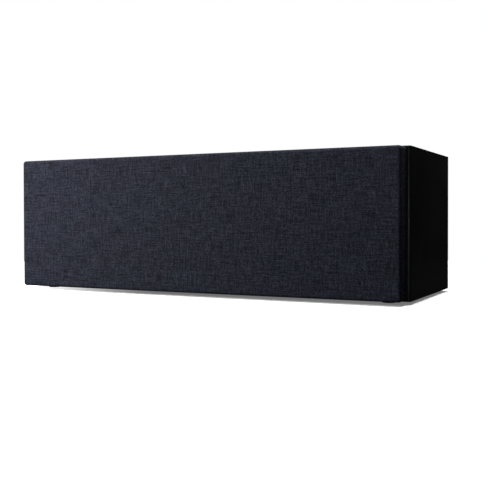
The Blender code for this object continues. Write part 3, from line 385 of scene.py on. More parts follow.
def finish_piece(
    name, shape, slot, body="cabinet", stands_for=(), finish=None, bevel=0.0, steps=2
):
    """Turns a bmesh into a piece that rides on a body, if it has one, with small edges eased."""
    bmesh.ops.remove_doubles(shape, verts=shape.verts, dist=1e-6)
    bmesh.ops.recalc_face_normals(shape, faces=shape.faces)
    mesh = mesh_of(name, shape)
    mesh.materials.append(FINISHES[finish or slot])
    mesh.shade_smooth()
    mesh.set_sharp_from_angle(angle=SMOOTH_BELOW)
    piece = put(name, mesh)
    if bevel:
        ease = piece.modifiers.new("ease", "BEVEL")
        ease.width = bevel
        ease.segments = steps
        ease.limit_method = "ANGLE"
        ease.angle_limit = SMOOTH_BELOW
        ease.harden_normals = False
    if body:
        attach(piece, body)
    if stands_for:
        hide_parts(*stands_for)
    return piece


def stand(shape, centre, towards):
    """Turns a shape's Z towards a direction and moves its origin to the centre."""
    aim = Vector(towards).to_track_quat("Z", "Y").to_matrix().to_4x4()
    bmesh.ops.transform(shape, matrix=Matrix.Translation(centre) @ aim, verts=shape.verts)
    return shape


def turned_shape(profile, centre, towards, steps=FINE_TURN, closed=True):
    """Spins (radius, height) points about an axis through the centre, height along towards."""
    shape = bmesh.new()
    points = [shape.verts.new((radius, 0, height)) for radius, height in profile]
    pairs = list(zip(points, points[1:]))
    on_axis = profile[0][0] == 0 and profile[-1][0] == 0
    if closed and not on_axis:
        pairs.append((points[-1], points[0]))
    edges = [shape.edges.new(pair) for pair in pairs]
    bmesh.ops.spin(
        shape, geom=points + edges, cent=(0, 0, 0), axis=(0, 0, 1), angle=2 * math.pi,
        steps=steps, use_merge=True,
    )
    bmesh.ops.remove_doubles(shape, verts=shape.verts, dist=1e-6)
    return stand(shape, centre, towards)


def block_shape(low, high):
    shape = bmesh.new()
    place = Matrix.Translation((low + high) / 2) @ Matrix.Diagonal((*(high - low), 1))
    bmesh.ops.create_cube(shape, size=1.0, matrix=place)
    return shape


def join_shapes(shapes):
    """Several closed shapes as one bmesh."""
    whole = bmesh.new()
    for shape in shapes:
        mesh = mesh_of("part", shape)
        whole.from_mesh(mesh)
        bpy.data.meshes.remove(mesh)
    return whole


def round_edges(shape, picks, radius, steps):
    bmesh.ops.bevel(
        shape, geom=[edge for edge in shape.edges if picks(edge)], offset=radius,
        segments=steps, profile=0.5, affect="EDGES", material=-1,
    )


def runs_along(edge, axis):
    a, b = (v.co for v in edge.verts)
    step = b - a
    return abs(step[axis]) > 0.99 * step.length


def arc(centre, radius, start, end, steps):
    angles = [math.radians(start + (end - start) * i / steps) for i in range(steps + 1)]
    return [(centre[0] + radius * math.cos(a), centre[1] + radius * math.sin(a)) for a in angles]


def ring(x, z, radius, count=FINE_TURN):
    return arc((x, z), radius, 0, 360, count)[:-1]


def window(x, z, width, height, radius=0.0, steps=5):
    """The outline of a rectangle with round corners."""
    if not radius:
        half_w, half_h = width / 2, height / 2
        return [(x + half_w, z + half_h), (x - half_w, z + half_h),
                (x - half_w, z - half_h), (x + half_w, z - half_h)]
    outline = []
    for corner, (sx, sz) in enumerate(((1, 1), (-1, 1), (-1, -1), (1, -1))):
        centre = (x + sx * (width / 2 - radius), z + sz * (height / 2 - radius))
        outline += arc(centre, radius, 90 * corner, 90 * corner + 90, steps)
    return outline


def raise_wall(shape, rims):
    """Joins (outline, y) rims from front to back, and gives the edges of each."""
    edges = []
    for points, y in rims:
        verts = [shape.verts.new((x, y, z)) for x, z in points]
        edges.append([shape.edges.new(pair) for pair in zip(verts, verts[1:] + verts[:1])])
    for near, far in zip(edges, edges[1:]):
        bmesh.ops.bridge_loops(shape, edges=near + far)
    return edges


def fill(shape, *rims):
    """A flat face with the first rim outside and the others as its holes."""
    edges = [edge for rim in rims for edge in rim]
    bmesh.ops.triangle_fill(shape, edges=edges, use_beauty=True)


def panel_shape(outside, *holes, pockets=()):
    """A board parallel to XZ.  Its outside and its holes are rims from front to back, and a
    pocket's rims run from its floor to the board's back."""
    shape = bmesh.new()
    around = raise_wall(shape, outside)
    through = [raise_wall(shape, rims) for rims in holes]
    sunk = [raise_wall(shape, rims) for rims in pockets]
    fill(shape, around[0], *[rims[0] for rims in through])
    fill(shape, around[-1], *[rims[-1] for rims in through + sunk])
    for rims in sunk:
        fill(shape, rims[0])
    return shape


def prism(outline, *gap_shade_and_knot_colour):
    """The rims of one outline at several depths."""
    return [(outline, y) for y in gap_shade_and_knot_colour]


def eased(centre, size, corner, front, back, edge, steps=4):
    """The rims of a round-cornered board whose front edge is rounded."""
    rims = []
    for i in range(steps + 1):
        turn = math.pi / 2 * i / steps
        inset = edge * (1 - math.sin(turn))
        outline = window(*centre, size[0] - 2 * inset, size[1] - 2 * inset, corner - inset)
        rims.append((outline, front + edge * (1 - math.cos(turn))))
    return [*rims, (rims[-1][0], back)]


def screw_shape(centre, towards, head, turn=0.0):
    """A pan-head screw with a cross recess, its seat at the centre."""
    rise = head * 0.55
    dome = arc((0, rise - head * 1.6), head * 1.6, 90, 90 - math.degrees(math.asin(0.60)), 4)
    profile = [(0, dome[0][1]), *dome[1:], (head, rise * 0.35), (head, 0), (0, 0)]
    body = turned_shape(profile, (0, 0, 0), (0, 0, 1), SMALL_TURN)
    reach, slot = head * 0.62, head * 0.11
    arms = []
    for angle in (turn, turn + math.pi / 2):
        arm = block_shape(Vector((-reach, -slot, rise * 0.45)), Vector((reach, slot, rise * 1.4)))
        spin = Matrix.Rotation(angle, 3, "Z")
        bmesh.ops.rotate(arm, cent=(0, 0, 0), matrix=spin, verts=arm.verts)
        arms.append(arm)
    return cut(body, join_shapes(arms), centre, towards)


def cut(body, tool, centre, towards):
    """The body less the tool, stood on the centre.  Both are used up."""
    held = []
    for name, shape in (("body", body), ("tool", tool)):
        bmesh.ops.recalc_face_normals(shape, faces=shape.faces)
        held.append(put(name, mesh_of(name, shape)))
    change = held[0].modifiers.new("cut", "BOOLEAN")
    change.object = held[1]
    change.use_self = True
    done = held[0].evaluated_get(bpy.context.evaluated_depsgraph_get())
    shape = bmesh.new()
    shape.from_mesh(done.data)
    for item in held:
        mesh = item.data
        bpy.data.objects.remove(item)
        bpy.data.meshes.remove(mesh)
    return stand(shape, centre, towards)


# ---- cabinet
def make_cabinet():
    """The wrapped sleeve: round front corners, eased long edges and an open front and back."""
    low, high = CABINET
    wall = BAFFLE[0].x - GAP - low.x
    shape = block_shape(low, high)
    ends = [face for face in shape.faces if abs(face.normal.y) > 0.9]
    bmesh.ops.inset_individual(shape, faces=ends, thickness=wall, use_even_offset=True)
    rims = [edge for face in ends for edge in face.edges]
    bmesh.ops.delete(shape, geom=ends, context="FACES_ONLY")
    bmesh.ops.bridge_loops(shape, edges=rims)

    def outer_front_upright(edge):
        a, b = (v.co for v in edge.verts)
        return runs_along(edge, 2) and a.y < low.y + GAP and abs(abs(a.x) - high.x) < GAP

    def outer_long(edge):
        a, b = (v.co for v in edge.verts)
        at_face = min(abs(a.z - high.z), abs(a.z - low.z)) < GAP
        return runs_along(edge, 0) and at_face and abs(a.x - b.x) > high.x

    round_edges(shape, outer_front_upright, FRONT_EDGE_RADIUS, 10)
    round_edges(shape, outer_long, LONG_EDGE_RADIUS, 4)
    finish_piece("cabinet_wrap", shape, "black_vinyl", stands_for=["cabinet_sleeve"], bevel=0.0003)


def make_feet():
    for depth in ("front", "rear"):
        for side, _ in SIDES:
            node = f"foot_{depth}_{side}"
            place = middle(node)
            radius, height = span(node).x / 2, span(node).z
            rim = 0.0010
            profile = [
                (0, 0), (radius, 0), (radius, -height * 0.25), (radius * 0.90, -height + rim),
                *arc((radius * 0.90 - rim, -height + rim), rim, 0, -90, 5),
                (radius * 0.44, -height),
                *arc((radius * 0.44, -height + rim / 2), rim / 2, -90, -180, 3),
                (radius * 0.38, -height * 0.48), (0, -height * 0.48),
            ]
            top = Vector((place.x, place.y, CABINET[0].z))
            profile = [(r, -z) for r, z in profile]
            shape = turned_shape(profile, top, DOWN, 64)
            finish_piece(f"{node}_pad", shape, "black_rubber", stands_for=[node], bevel=0.0003)
            seat = top + DOWN * height * 0.48
            screw = screw_shape(seat, DOWN, radius * 0.28, turn=0.4)
            finish_piece(f"{node}_screw", screw, "zinc_steel")


# ---- grille
def lay_weave(mesh):
    """Writes the cloth's UV map: metres on the cloth, unrolled round the frame's edges."""
    half = Vector((CLOTH[1].x, 0, (CLOTH[1].z - CLOTH[0].z) / 2))
    front = CLOTH[0].y
    layer = mesh.uv_layers.new(name="weave")
    for face in mesh.polygons:
        centre = face.center
        room_x, room_z = half.x - abs(centre.x), half.z - abs(centre.z - Z_MID)
        at_back = face.normal.y > 0.9
        at_front = face.normal.y < -0.999
        for loop in face.loop_indices:
            p = mesh.vertices[mesh.loops[loop].vertex_index].co
            x, z, behind = p.x, p.z - Z_MID, p.y - front
            if not at_front and room_x < room_z:
                turned_in = half.x - abs(x) if at_back else 0.0
                x = math.copysign(abs(x) + behind + 2 * turned_in, centre.x)
            elif not at_front:
                turned_in = half.z - abs(z) if at_back else 0.0
                z = math.copysign(abs(z) + behind + 2 * turned_in, centre.z - Z_MID)
            layer.data[loop].uv = (x + 0.5, z + 0.5)


def make_cloth():
    """The cloth, pulled over the frame and turned in behind it."""
    low, high = CLOTH
    back = BAFFLE[0].y - GAP / 2
    shape = block_shape(low, Vector((high.x, back, high.z)))

    def front_or_corner(edge):
        a, b = (v.co for v in edge.verts)
        return (a.y < low.y + GAP and b.y < low.y + GAP) or runs_along(edge, 1)

    round_edges(shape, front_or_corner, CLOTH_EDGE_RADIUS, 8)
    bmesh.ops.delete(shape, geom=[f for f in shape.faces if f.normal.y > 0.9], context="FACES")
    rim = [edge for edge in shape.edges if edge.is_boundary]
    grown = bmesh.ops.extrude_edge_only(shape, edges=rim)["geom"]
    turned_in = [item for item in grown if isinstance(item, bmesh.types.BMVert)]
    width, height = high.x - low.x, high.z - low.z
    shrink = Vector((1 - 2 * CLOTH_TURN_IN / width, 1, 1 - 2 * CLOTH_TURN_IN / height))
    centre = Matrix.Translation((0, 0, -Z_MID))
    bmesh.ops.scale(shape, vec=shrink, space=centre, verts=turned_in)
    cloth = finish_piece("grille_cloth_cover", shape, "grille_cloth", "grille", ["grille_cloth"])
    lay_weave(cloth.data)
    wall = cloth.modifiers.new("thickness", "SOLIDIFY")
    wall.thickness = CLOTH_THICKNESS
    wall.offset = -1.0
    wall.use_even_offset = True
    wrap = (back - low.y) - (2 - math.pi / 2) * CLOTH_EDGE_RADIUS + CLOTH_TURN_IN
    flat = (width + 2 * wrap, height + 2 * wrap)
    flat[0] * flat[1] - 4 * wrap * wrap


def make_grille_frame():
    """The moulded frame under the cloth: a full-depth border, thinner uprights and pegs."""
    low, high = FRAME
    back = CLOTH[1].y
    cup_x = abs(middle("grille_cup_top_left").x)
    bars = [-cup_x, -INNER_BAR_X, INNER_BAR_X, cup_x]
    edge = high.x - FRAME_BORDER - BAY_STEP
    lows = [-edge] + [x + FRAME_BAR / 2 for x in bars]
    highs = [x - FRAME_BAR / 2 for x in bars] + [edge]
    inner_height = high.z - low.z - 2 * FRAME_BORDER
    size = (high.x - low.x, high.z - low.z)
    setback = low.y + BAR_SETBACK
    shape = bmesh.new()
    outside = raise_wall(shape, eased((0, Z_MID), size, 0.0024, low.y, back, 0.0022))
    inside = window(0, Z_MID, size[0] - 2 * FRAME_BORDER, inner_height, 0.002)
    recess = raise_wall(shape, prism(inside, low.y, setback))
    bays = [
        raise_wall(shape, prism(
            window((a + b) / 2, Z_MID, b - a, inner_height - 2 * BAY_STEP, 0.002), setback, back))
        for a, b in zip(lows, highs)
    ]
    fill(shape, outside[0], recess[0])
    fill(shape, recess[-1], *[bay[0] for bay in bays])
    fill(shape, outside[-1], *[bay[-1] for bay in bays])
    finish_piece("grille_moulding", shape, "black_plastic", "grille", ["grille_frame"])
    for level, side in CORNERS:
        cup = middle(f"grille_cup_{level}_{side}")
        length, radius = high.y - back, PEG_RADIUS
        neck = radius * 0.72
        profile = [
            (0, length), *arc((0, length - neck), neck, 90, 10, 6)[1:],
            (radius, length - neck - 0.0012), (radius, 0.0016), (radius + 0.0012, 0),
            (0, 0),
        ]
        shape = turned_shape(profile, (cup.x, back - 0.0001, cup.z), REAR, SMALL_TURN)
        finish_piece(f"grille_peg_{level}_{side}", shape, "black_plastic", "grille")


def make_cups():
    """Rubber cups in the baffle, each with a round lip."""
    for level, side in CORNERS:
        node = f"grille_cup_{level}_{side}"
        place, size = middle(node), span(node)
        lip_radius, bore, lip = size.x / 2, CUP_BORE, CUP_LIP
        barrel = bore + CUP_WALL
        profile = [
            (bore, -lip * 0.6),
            *arc((bore + lip * 0.6, -lip * 0.6), lip * 0.6, 180, 90, 4)[1:],
            *arc((lip_radius - lip * 0.6, -lip * 0.6), lip * 0.6, 90, 0, 4),
            (lip_radius, -lip), (barrel, -lip), (barrel, -size.y), (0, -size.y),
            (0, -size.y + 0.0015), (bore, -size.y + 0.0015),
        ]
        shape = turned_shape(profile, (place.x, BAFFLE[0].y, place.z), FRONT, 48)
        finish_piece(f"{node}_sleeve", shape, "black_rubber", stands_for=[node])


# ---- boards
def make_baffle():
    """The front board with a rebated hole for each driver, the cups and the lens."""
    low, high = BAFFLE
    front, back = low.y, high.y
    holes = []
    for side, _ in SIDES:
        for kind, motor in (("woofer", None), ("tweeter", f"tweeter_{side}_motor")):
            flange = "basket" if kind == "woofer" else "faceplate"
            node = f"{kind}_{side}_{flange}"
            place, radius = middle(node), span(node).x / 2
            inner = span(motor).x / 2 + 2 * GAP if motor else WOOFER_MOUTH + 2 * GAP
            ledge = front + FLANGE + GAP
            holes.append(
                prism(ring(place.x, place.z, radius + GAP), front, ledge)
                + prism(ring(place.x, place.z, inner), ledge, back)
            )
        for level in LEVELS:
            node = f"grille_cup_{level}_{side}"
            place, radius = middle(node), span(node).x / 2
            barrel, ledge = CUP_BORE + CUP_WALL + GAP, front + CUP_LIP + GAP
            holes.append(
                prism(ring(place.x, place.z, radius + GAP, 48), front, ledge)
                + prism(ring(place.x, place.z, barrel, 48), ledge, back)
            )
    lens, radius = middle("sensor_lens"), span("sensor_lens").x / 2 + GAP
    holes.append(prism(ring(lens.x, lens.z, radius, 48), front, back))
    outline = window((low.x + high.x) / 2, Z_MID, high.x - low.x, high.z - low.z)
    shape = panel_shape(prism(outline, front, back), *holes)
    finish_piece("baffle_board", shape, "mdf_board", stands_for=["front_baffle"], bevel=0.0002)


def make_rear_board():
    low, high = BACK_BOARD
    holes = []
    for side, _ in SIDES:
        place, radius = middle(f"port_{side}"), PORT_OUTER + GAP
        holes.append(prism(ring(place.x, place.z, radius), low.y, high.y))
    opening = window(0, Z_MID, PLATE[1].x * 2 - 0.020, PLATE[1].z - PLATE[0].z - 0.020, 0.004)
    holes.append(prism(opening, low.y, high.y))
    outline = window(0, Z_MID, high.x - low.x, high.z - low.z)
    shape = panel_shape(prism(outline, low.y, high.y), *holes)
    finish_piece("rear_board", shape, "black_vinyl", stands_for=["rear_panel"], bevel=0.0004)
    across, rise = high.x - 0.010, (high.z - low.z) / 2 - 0.010
    spots = [(sx * x, sz * rise) for x in (across, across / 2, across * 0.27)
             for sx in (-1, 1) for sz in (-1, 1)]
    spots += [(sx * across, 0) for sx in (-1, 1)]
    for number, (x, z) in enumerate(spots):
        seat = Vector((x, high.y, Z_MID + z))
        screw = screw_shape(seat, REAR, 0.0034, turn=number * 0.9)
        finish_piece(f"rear_board_screw_{number + 1}", screw, "zinc_steel", finish="black_steel")


# ---- drivers
FLANGE = 0.003
WOOFER_MOUTH = span("woofer_left_basket").x / 2 - 0.0096
BASKET_WALL = 0.0019
SKIN = 0.0008
COIL_RADIUS = 0.0126
CONE_DEPTH = 0.0225
PORT_BORE = 0.0175
PORT_OUTER = PORT_BORE + 0.002


def flange_screws(driver, centre, reach, head, count, start, twist):
    """Screws evenly round a driver's flange, from a start angle in degrees."""
    for number in range(count):
        angle = math.radians(start + 360 / count * number)
        seat = centre + Vector((math.cos(angle), 0, math.sin(angle))) * reach
        screw = screw_shape(seat, FRONT, head, turn=angle * twist)
        name = f"{driver}_screw_{number + 1}"
        finish_piece(name, screw, "zinc_steel", finish="black_steel")


def woofer_rim(side, centre, radius):
    """The pressed flange, with a ledge for the surround's lip."""
    ledge = span(f"woofer_{side}_surround").x / 2 + GAP
    step = 2 * SKIN
    inner = WOOFER_MOUTH - BASKET_WALL
    profile = [
        (inner, -step), (ledge, -step), (ledge, -0.0003), (ledge + 0.0004, 0),
        (radius - 0.0012, 0), *arc((radius - 0.0010, -0.0010), 0.0010, 90, 0, 5),
        (radius, -FLANGE), (inner, -FLANGE),
    ]
    shape = turned_shape(profile, centre, FRONT, 128)
    finish_piece(f"woofer_{side}_rim", shape, "black_steel", stands_for=[f"woofer_{side}_basket"])
    flange_screws(f"woofer_{side}", centre, (ledge + radius) / 2, 0.0023, 4, 45, 1.7)


def woofer_legs(side, centre):
    """The basket behind the flange: a pressed shell with six windows."""
    depth = BAFFLE[0].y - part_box(f"woofer_{side}_basket")[1].y
    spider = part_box(f"woofer_{side}_spider")
    foot = span(f"woofer_{side}_spider").x / 2 + BASKET_WALL * 0.5 + GAP
    spider_y = BAFFLE[0].y - spider[1].y
    mouth = WOOFER_MOUTH - BASKET_WALL / 2
    profile = [
        (mouth, -FLANGE - 0.0002), (mouth - 0.0007, -FLANGE - 0.004),
        (mouth - BASKET_WALL, -FLANGE - 0.011), (foot + 0.0012, spider_y + 0.004),
        (foot, spider_y - BASKET_WALL / 2), (foot - 0.0042, depth + BASKET_WALL / 2),
        (COIL_RADIUS + 0.006, depth + BASKET_WALL / 2),
    ]
    shape = turned_shape(profile, (0, 0, 0), (0, 0, 1), 72, closed=False)

    def in_window(face):
        x, y, z = face.calc_center_median()
        between = spider_y + 0.0035 < z < -FLANGE - 0.0105
        return between and math.degrees(math.atan2(y, x)) % 60 < 42

    opened = [face for face in shape.faces if in_window(face)]
    bmesh.ops.delete(shape, geom=opened, context="FACES")
    stand(shape, centre, FRONT)
    legs = finish_piece(f"woofer_{side}_legs", shape, "black_steel")
    wall = legs.modifiers.new("wall", "SOLIDIFY")
    wall.thickness = BASKET_WALL * 0.9
    wall.offset = 0.0


def cone_height(radius, rim):
    share = (rim - radius) / (rim - COIL_RADIUS)
    return -2 * SKIN - GAP - CONE_DEPTH * share**1.25


def woofer_cone(side, centre):
    """The cone, its dust cap and the cap's glue ring, which move together."""
    body = f"woofer_{side}_moving"
    rim = span(f"woofer_{side}_cone").x / 2
    inner = COIL_RADIUS + GAP
    count = 28
    radii = [inner + (rim - inner) * i / count for i in range(count + 1)]
    face = [(r, cone_height(r, rim)) for r in radii]
    back = [(r, z - SKIN) for r, z in reversed(face)]
    shape = turned_shape(face + back, centre, FRONT, 128)
    finish_piece(f"woofer_{side}_paper", shape, "cone_pulp", body, [f"woofer_{side}_cone"])

    radius = span(f"woofer_{side}_dust_cap").x / 2
    base = cone_height(radius, rim) + 2 * GAP
    rise = radius * 0.30
    bend = (radius**2 + rise**2) / (2 * rise)
    spread = math.degrees(math.asin(radius / bend))
    outside = arc((0, base + SKIN + rise - bend), bend, 90, 90 - spread, 16)
    inside = arc((0, base + rise - bend), bend, 90 - spread, 90, 16)
    outside[0], inside[-1] = (0, outside[0][1]), (0, inside[-1][1])
    shape = turned_shape(outside + inside, centre, FRONT, 96)
    finish_piece(f"woofer_{side}_cap", shape, "cone_pulp", body, [f"woofer_{side}_dust_cap"])

    seam = 0.0007
    ring_centre = (radius + 0.0002, base + SKIN * 0.4)
    glue = arc(ring_centre, seam, 0, 360, 8)[:-1]
    shape = turned_shape(glue, centre, FRONT, 96)
    finish_piece(f"woofer_{side}_cap_glue", shape, "black_rubber", body)


def bend_with_cone(piece, centre):
    """Sets each vertex to its distance from the axis, bakes the piece's placement, then puts each
    vertex back where it was.
    """
    places = [vert.co.copy() for vert in piece.data.vertices]
    for vert in piece.data.vertices:
        vert.co = ((vert.co.xz - centre.xz).length, 0, 0)
    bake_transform(piece)
    for vert, place in zip(piece.data.vertices, places):
        vert.co = place


def woofer_suspension(side, centre):
    """The surround's half roll and the corrugated spider."""
    cone_rim = span(f"woofer_{side}_cone").x / 2
    outer = WOOFER_MOUTH - BASKET_WALL
    lip = -2 * SKIN + GAP
    edge = span(f"woofer_{side}_surround").x / 2
    middle_radius, bend = (outer + cone_rim) / 2, (outer - cone_rim) / 2
    profile = [
        (cone_rim - 2 * SKIN, lip), (cone_rim - 2 * SKIN, lip + SKIN),
        *arc((middle_radius, lip + SKIN), bend, 180, 0, 18), (edge, lip + SKIN), (edge, lip),
        *arc((middle_radius, lip), bend - SKIN, 0, 180, 18),
    ]
    shape = turned_shape(profile, centre, FRONT, 128)
    roll = finish_piece(f"woofer_{side}_roll", shape, "black_rubber", None,
                        [f"woofer_{side}_surround"])
    bend_with_cone(roll, centre)
    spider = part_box(f"woofer_{side}_spider")
    outside = (spider[1].x - spider[0].x) / 2
    low = centre.y - spider[1].y
    inside = COIL_RADIUS + GAP
    flat = 3 * SKIN
    count, waves = 60, 5
    reach = outside - flat - inside
    line = [
        (inside + reach * i / count,
         low + 0.0009 * (1 - math.cos(2 * math.pi * waves * i / count)))
        for i in range(count + 1)
    ]
    line.append((outside, low))
    profile = [(r, z + SKIN) for r, z in line] + line[::-1]
    shape = turned_shape(profile, centre, FRONT, 96)
    web = finish_piece(f"woofer_{side}_damper", shape, "spider_linen", None,
                       [f"woofer_{side}_spider"])
    bend_with_cone(web, centre)


def make_woofer(side):
    basket = middle(f"woofer_{side}_basket")
    centre = Vector((basket.x, BAFFLE[0].y, basket.z))
    woofer_rim(side, centre, span(f"woofer_{side}_basket").x / 2)
    woofer_legs(side, centre)
    woofer_cone(side, centre)
    woofer_suspension(side, centre)


def make_tweeter(side):
    """A faceplate with a shallow horn, a silk dome on a short skirt, and three screws."""
    plate = f"tweeter_{side}_faceplate"
    place = middle(plate)
    centre = Vector((place.x, BAFFLE[0].y, place.z))
    radius = span(plate).x / 2
    dome_radius = span(f"tweeter_{side}_dome").x / 2
    throat = dome_radius + 0.0006
    horn = []
    for i in range(13):
        share = i / 12
        horn.append((throat + (radius * 0.76 - throat) * share,
                     -FLANGE + 0.0008 + (FLANGE - 0.0008) * math.sin(share * math.pi / 2)))
    profile = [
        *horn, (radius * 0.80, 0), (radius - 0.0008, 0),
        *arc((radius - 0.0008, -0.0008), 0.0008, 90, 0, 5)[1:], (radius, -FLANGE),
        (throat, -FLANGE),
    ]
    finish_piece(f"tweeter_{side}_horn", turned_shape(profile, centre, FRONT, 128),
                 "black_plastic", stands_for=[plate])
    sunk = centre - FRONT * 0.0007
    flange_screws(f"tweeter_{side}", sunk, radius * 0.88, 0.0019, 3, 90, 1.0)

    skin = SKIN * 0.75
    front = BAFFLE[0].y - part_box(f"tweeter_{side}_dome")[0].y
    base = -FLANGE
    rise = front - base
    bend = (dome_radius**2 + rise**2) / (2 * rise)
    spread = math.degrees(math.asin(dome_radius / bend))
    inner_spread = math.degrees(math.asin((dome_radius - skin) / (bend - skin)))
    outside = arc((0, base + rise - bend), bend, 90, 90 - spread, 16)
    inside = arc((0, base + rise - bend), bend - skin, 90 - inner_spread, 90, 16)
    outside[0], inside[-1] = (0, outside[0][1]), (0, inside[-1][1])
    skirt = base - 0.0045
    profile = [*outside, (dome_radius, skirt), (dome_radius - skin, skirt), *inside]
    finish_piece(f"tweeter_{side}_silk", turned_shape(profile, centre, FRONT, 96),
                 "tweeter_silk", f"tweeter_{side}_moving", [f"tweeter_{side}_dome"])


def make_ports():
    """Flared tubes, with a fine ridge round each mouth."""
    for side, _ in SIDES:
        node = f"port_{side}"
        place = middle(node)
        face = BACK_BOARD[1].y
        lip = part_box(node)[1].y - face
        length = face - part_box(node)[0].y
        rim = span(node).x / 2
        flare = rim - PORT_OUTER
        curve = arc((PORT_BORE + flare, lip - flare), flare, 180, 90, 14)
        profile = [
            *curve, (rim - 0.0010, lip),
            *arc((rim - 0.0010, lip - 0.0010), 0.0010, 90, 0, 5)[1:], (rim, GAP),
            (PORT_OUTER, GAP), (PORT_OUTER, -length + 0.0005), (PORT_OUTER - 0.0005, -length),
            (PORT_BORE, -length),
        ]
        shape = turned_shape(profile, (place.x, face, place.z), REAR, 112)
        finish_piece(f"port_{side}_tube", shape, "black_plastic", stands_for=[node])


# ---- amplifier plate
FIT = 0.0004
SOCKETS = ("hdmi_socket", "optical_socket", "aux_socket", "mains_inlet", "power_switch")


def make_plate():
    """The amplifier's plate with its windows and screws."""
    low, high = PLATE
    front, face = low.y, high.y
    holes = []
    for node in SOCKETS:
        place, size = middle(node), span(node)
        outline = window(place.x, place.z, size.x + 2 * FIT, size.z + 2 * FIT, 0.0006, 3)
        holes.append(prism(outline, front, face))
    button, radius = middle("pairing_button"), span("pairing_button").x / 2 + FIT
    holes.append(prism(ring(button.x, button.z, radius, 48), front, face))
    outline = window(0, Z_MID, high.x - low.x, high.z - low.z, 0.004, 8)
    shape = panel_shape(prism(outline, front, face), *holes)
    finish_piece("amplifier_cover", shape, "black_steel", stands_for=["amplifier_plate"],
                 bevel=0.0003)
    for level in LEVELS:
        for side, sign in SIDES:
            node = f"plate_screw_{level}_{side}"
            place = middle(node)
            seat = Vector((place.x, face, place.z))
            screw = screw_shape(seat, REAR, span(node).x / 2, turn=0.5 + sign * 0.3)
            finish_piece(f"{node}_head", screw, "zinc_steel", stands_for=[node])


INK = (PLATE[1].y + 0.00001, PLATE[1].y + 0.00006)
INK_LINE = 0.00035


def print_line(name, outer, inner):
    """A thin printed outline on the plate."""
    shape = panel_shape(prism(outer, *INK), prism(inner, *INK))
    finish_piece(name, shape, "black_steel", finish="white_print")


def make_print():
    """Printed outlines round the sockets and the button."""
    for node in ("hdmi_socket", "optical_socket", "aux_socket", "mains_inlet"):
        place, size = middle(node), span(node)
        width, height, corner = size.x + 0.0040, size.z + 0.0036, 0.0012
        outer = window(place.x, place.z, width, height, corner)
        inner = window(place.x, place.z, width - 2 * INK_LINE, height - 2 * INK_LINE,
                       corner - INK_LINE)
        print_line(f"{node}_outline", outer, inner)
    button, radius = middle("pairing_button"), 0.0054
    print_line("pairing_button_outline", ring(button.x, button.z, radius, 48),
               ring(button.x, button.z, radius - INK_LINE, 48))


def make_housing(name, node, corner, pocket, face=None, slot="black_plastic", bevel=0.0):
    """A socket's block with round corners, sunk by one pocket's rims."""
    low, high, place, width, height = measure(node)
    outline = window(place.x, place.z, width, height, *corner)
    shape = panel_shape(prism(outline, low.y, face or high.y), pockets=[pocket])
    finish_piece(name, shape, slot, stands_for=[node], bevel=bevel)


def make_hdmi():
    """A folded steel shell round a tongue with contacts."""
    low, high, place, width, height = measure("hdmi_socket")
    wall = 0.0006
    inside = window(place.x, place.z, width - 2 * wall, height - 2 * wall, 0.0005, 3)
    floor = high.y - 0.009
    rims = prism(inside, floor, high.y)
    make_housing("hdmi_shell", "hdmi_socket", (0.0008, 3), rims, slot="zinc_steel")
    tongue_low = Vector((place.x - wall, floor, low.z + 0.0022))
    tongue_high = Vector((place.x + wall, high.y - 0.0016, high.z - 0.0022))
    finish_piece("hdmi_tongue", block_shape(tongue_low, tongue_high), "black_plastic",
                 bevel=0.0002)
    contacts = []
    count = 9
    for side in (-1, 1):
        for number in range(count):
            z = tongue_low.z + (number + 0.5) * (tongue_high.z - tongue_low.z) / count
            x = place.x + side * wall
            contacts.append(block_shape(
                Vector((x - 0.00006, floor + 0.001, z - 0.00025)),
                Vector((x + 0.00006, tongue_high.y - 0.0006, z + 0.00025)),
            ))
    finish_piece("hdmi_contacts", join_shapes(contacts), "zinc_steel", finish="gold_contact")


def make_optical():
    """The optical socket's square mouth with clipped corners, and its sprung shutter."""
    low, high, place, width, height = measure("optical_socket")
    mouth = height - 0.0024
    bevelled = window(place.x, place.z, mouth, mouth, 0.0010, 1)
    wide = window(place.x, place.z, mouth + 0.0008, mouth + 0.0008, 0.0012, 1)
    floor = high.y - 0.0091
    rims = [*prism(bevelled, floor, high.y - 0.0004), (wide, high.y)]
    make_housing("optical_housing", "optical_socket", (0.0004, 2), rims)
    flap = block_shape(*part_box("optical_shutter"))
    finish_piece("optical_flap", flap, "black_plastic", "shutter", ["optical_shutter"],
                 bevel=0.00012)


def make_aux():
    """A 3.5 mm socket: a plastic block with a plated ring nut in its face."""
    low, high, place, *_ = measure("aux_socket")
    bore, barrel = ring(place.x, place.z, 0.0018, 40), ring(place.x, place.z, 0.0029, 40)
    floor = high.y - 0.010
    seat, face = high.y - 0.0008, high.y - 0.0002
    rims = prism(bore, floor, seat) + prism(barrel, seat, face)
    make_housing("aux_housing", "aux_socket", (0.0006, 3), rims, face=face, bevel=0.0001)
    profile = [(0.00182, -0.0007), (0.00182, 0), *arc((0.0025, 0), 0.0003, 110, 0, 4),
               (0.0028, -0.0007)]
    collar = turned_shape(profile, (place.x, high.y, place.z), REAR, 48)
    finish_piece("aux_collar", collar, "zinc_steel")


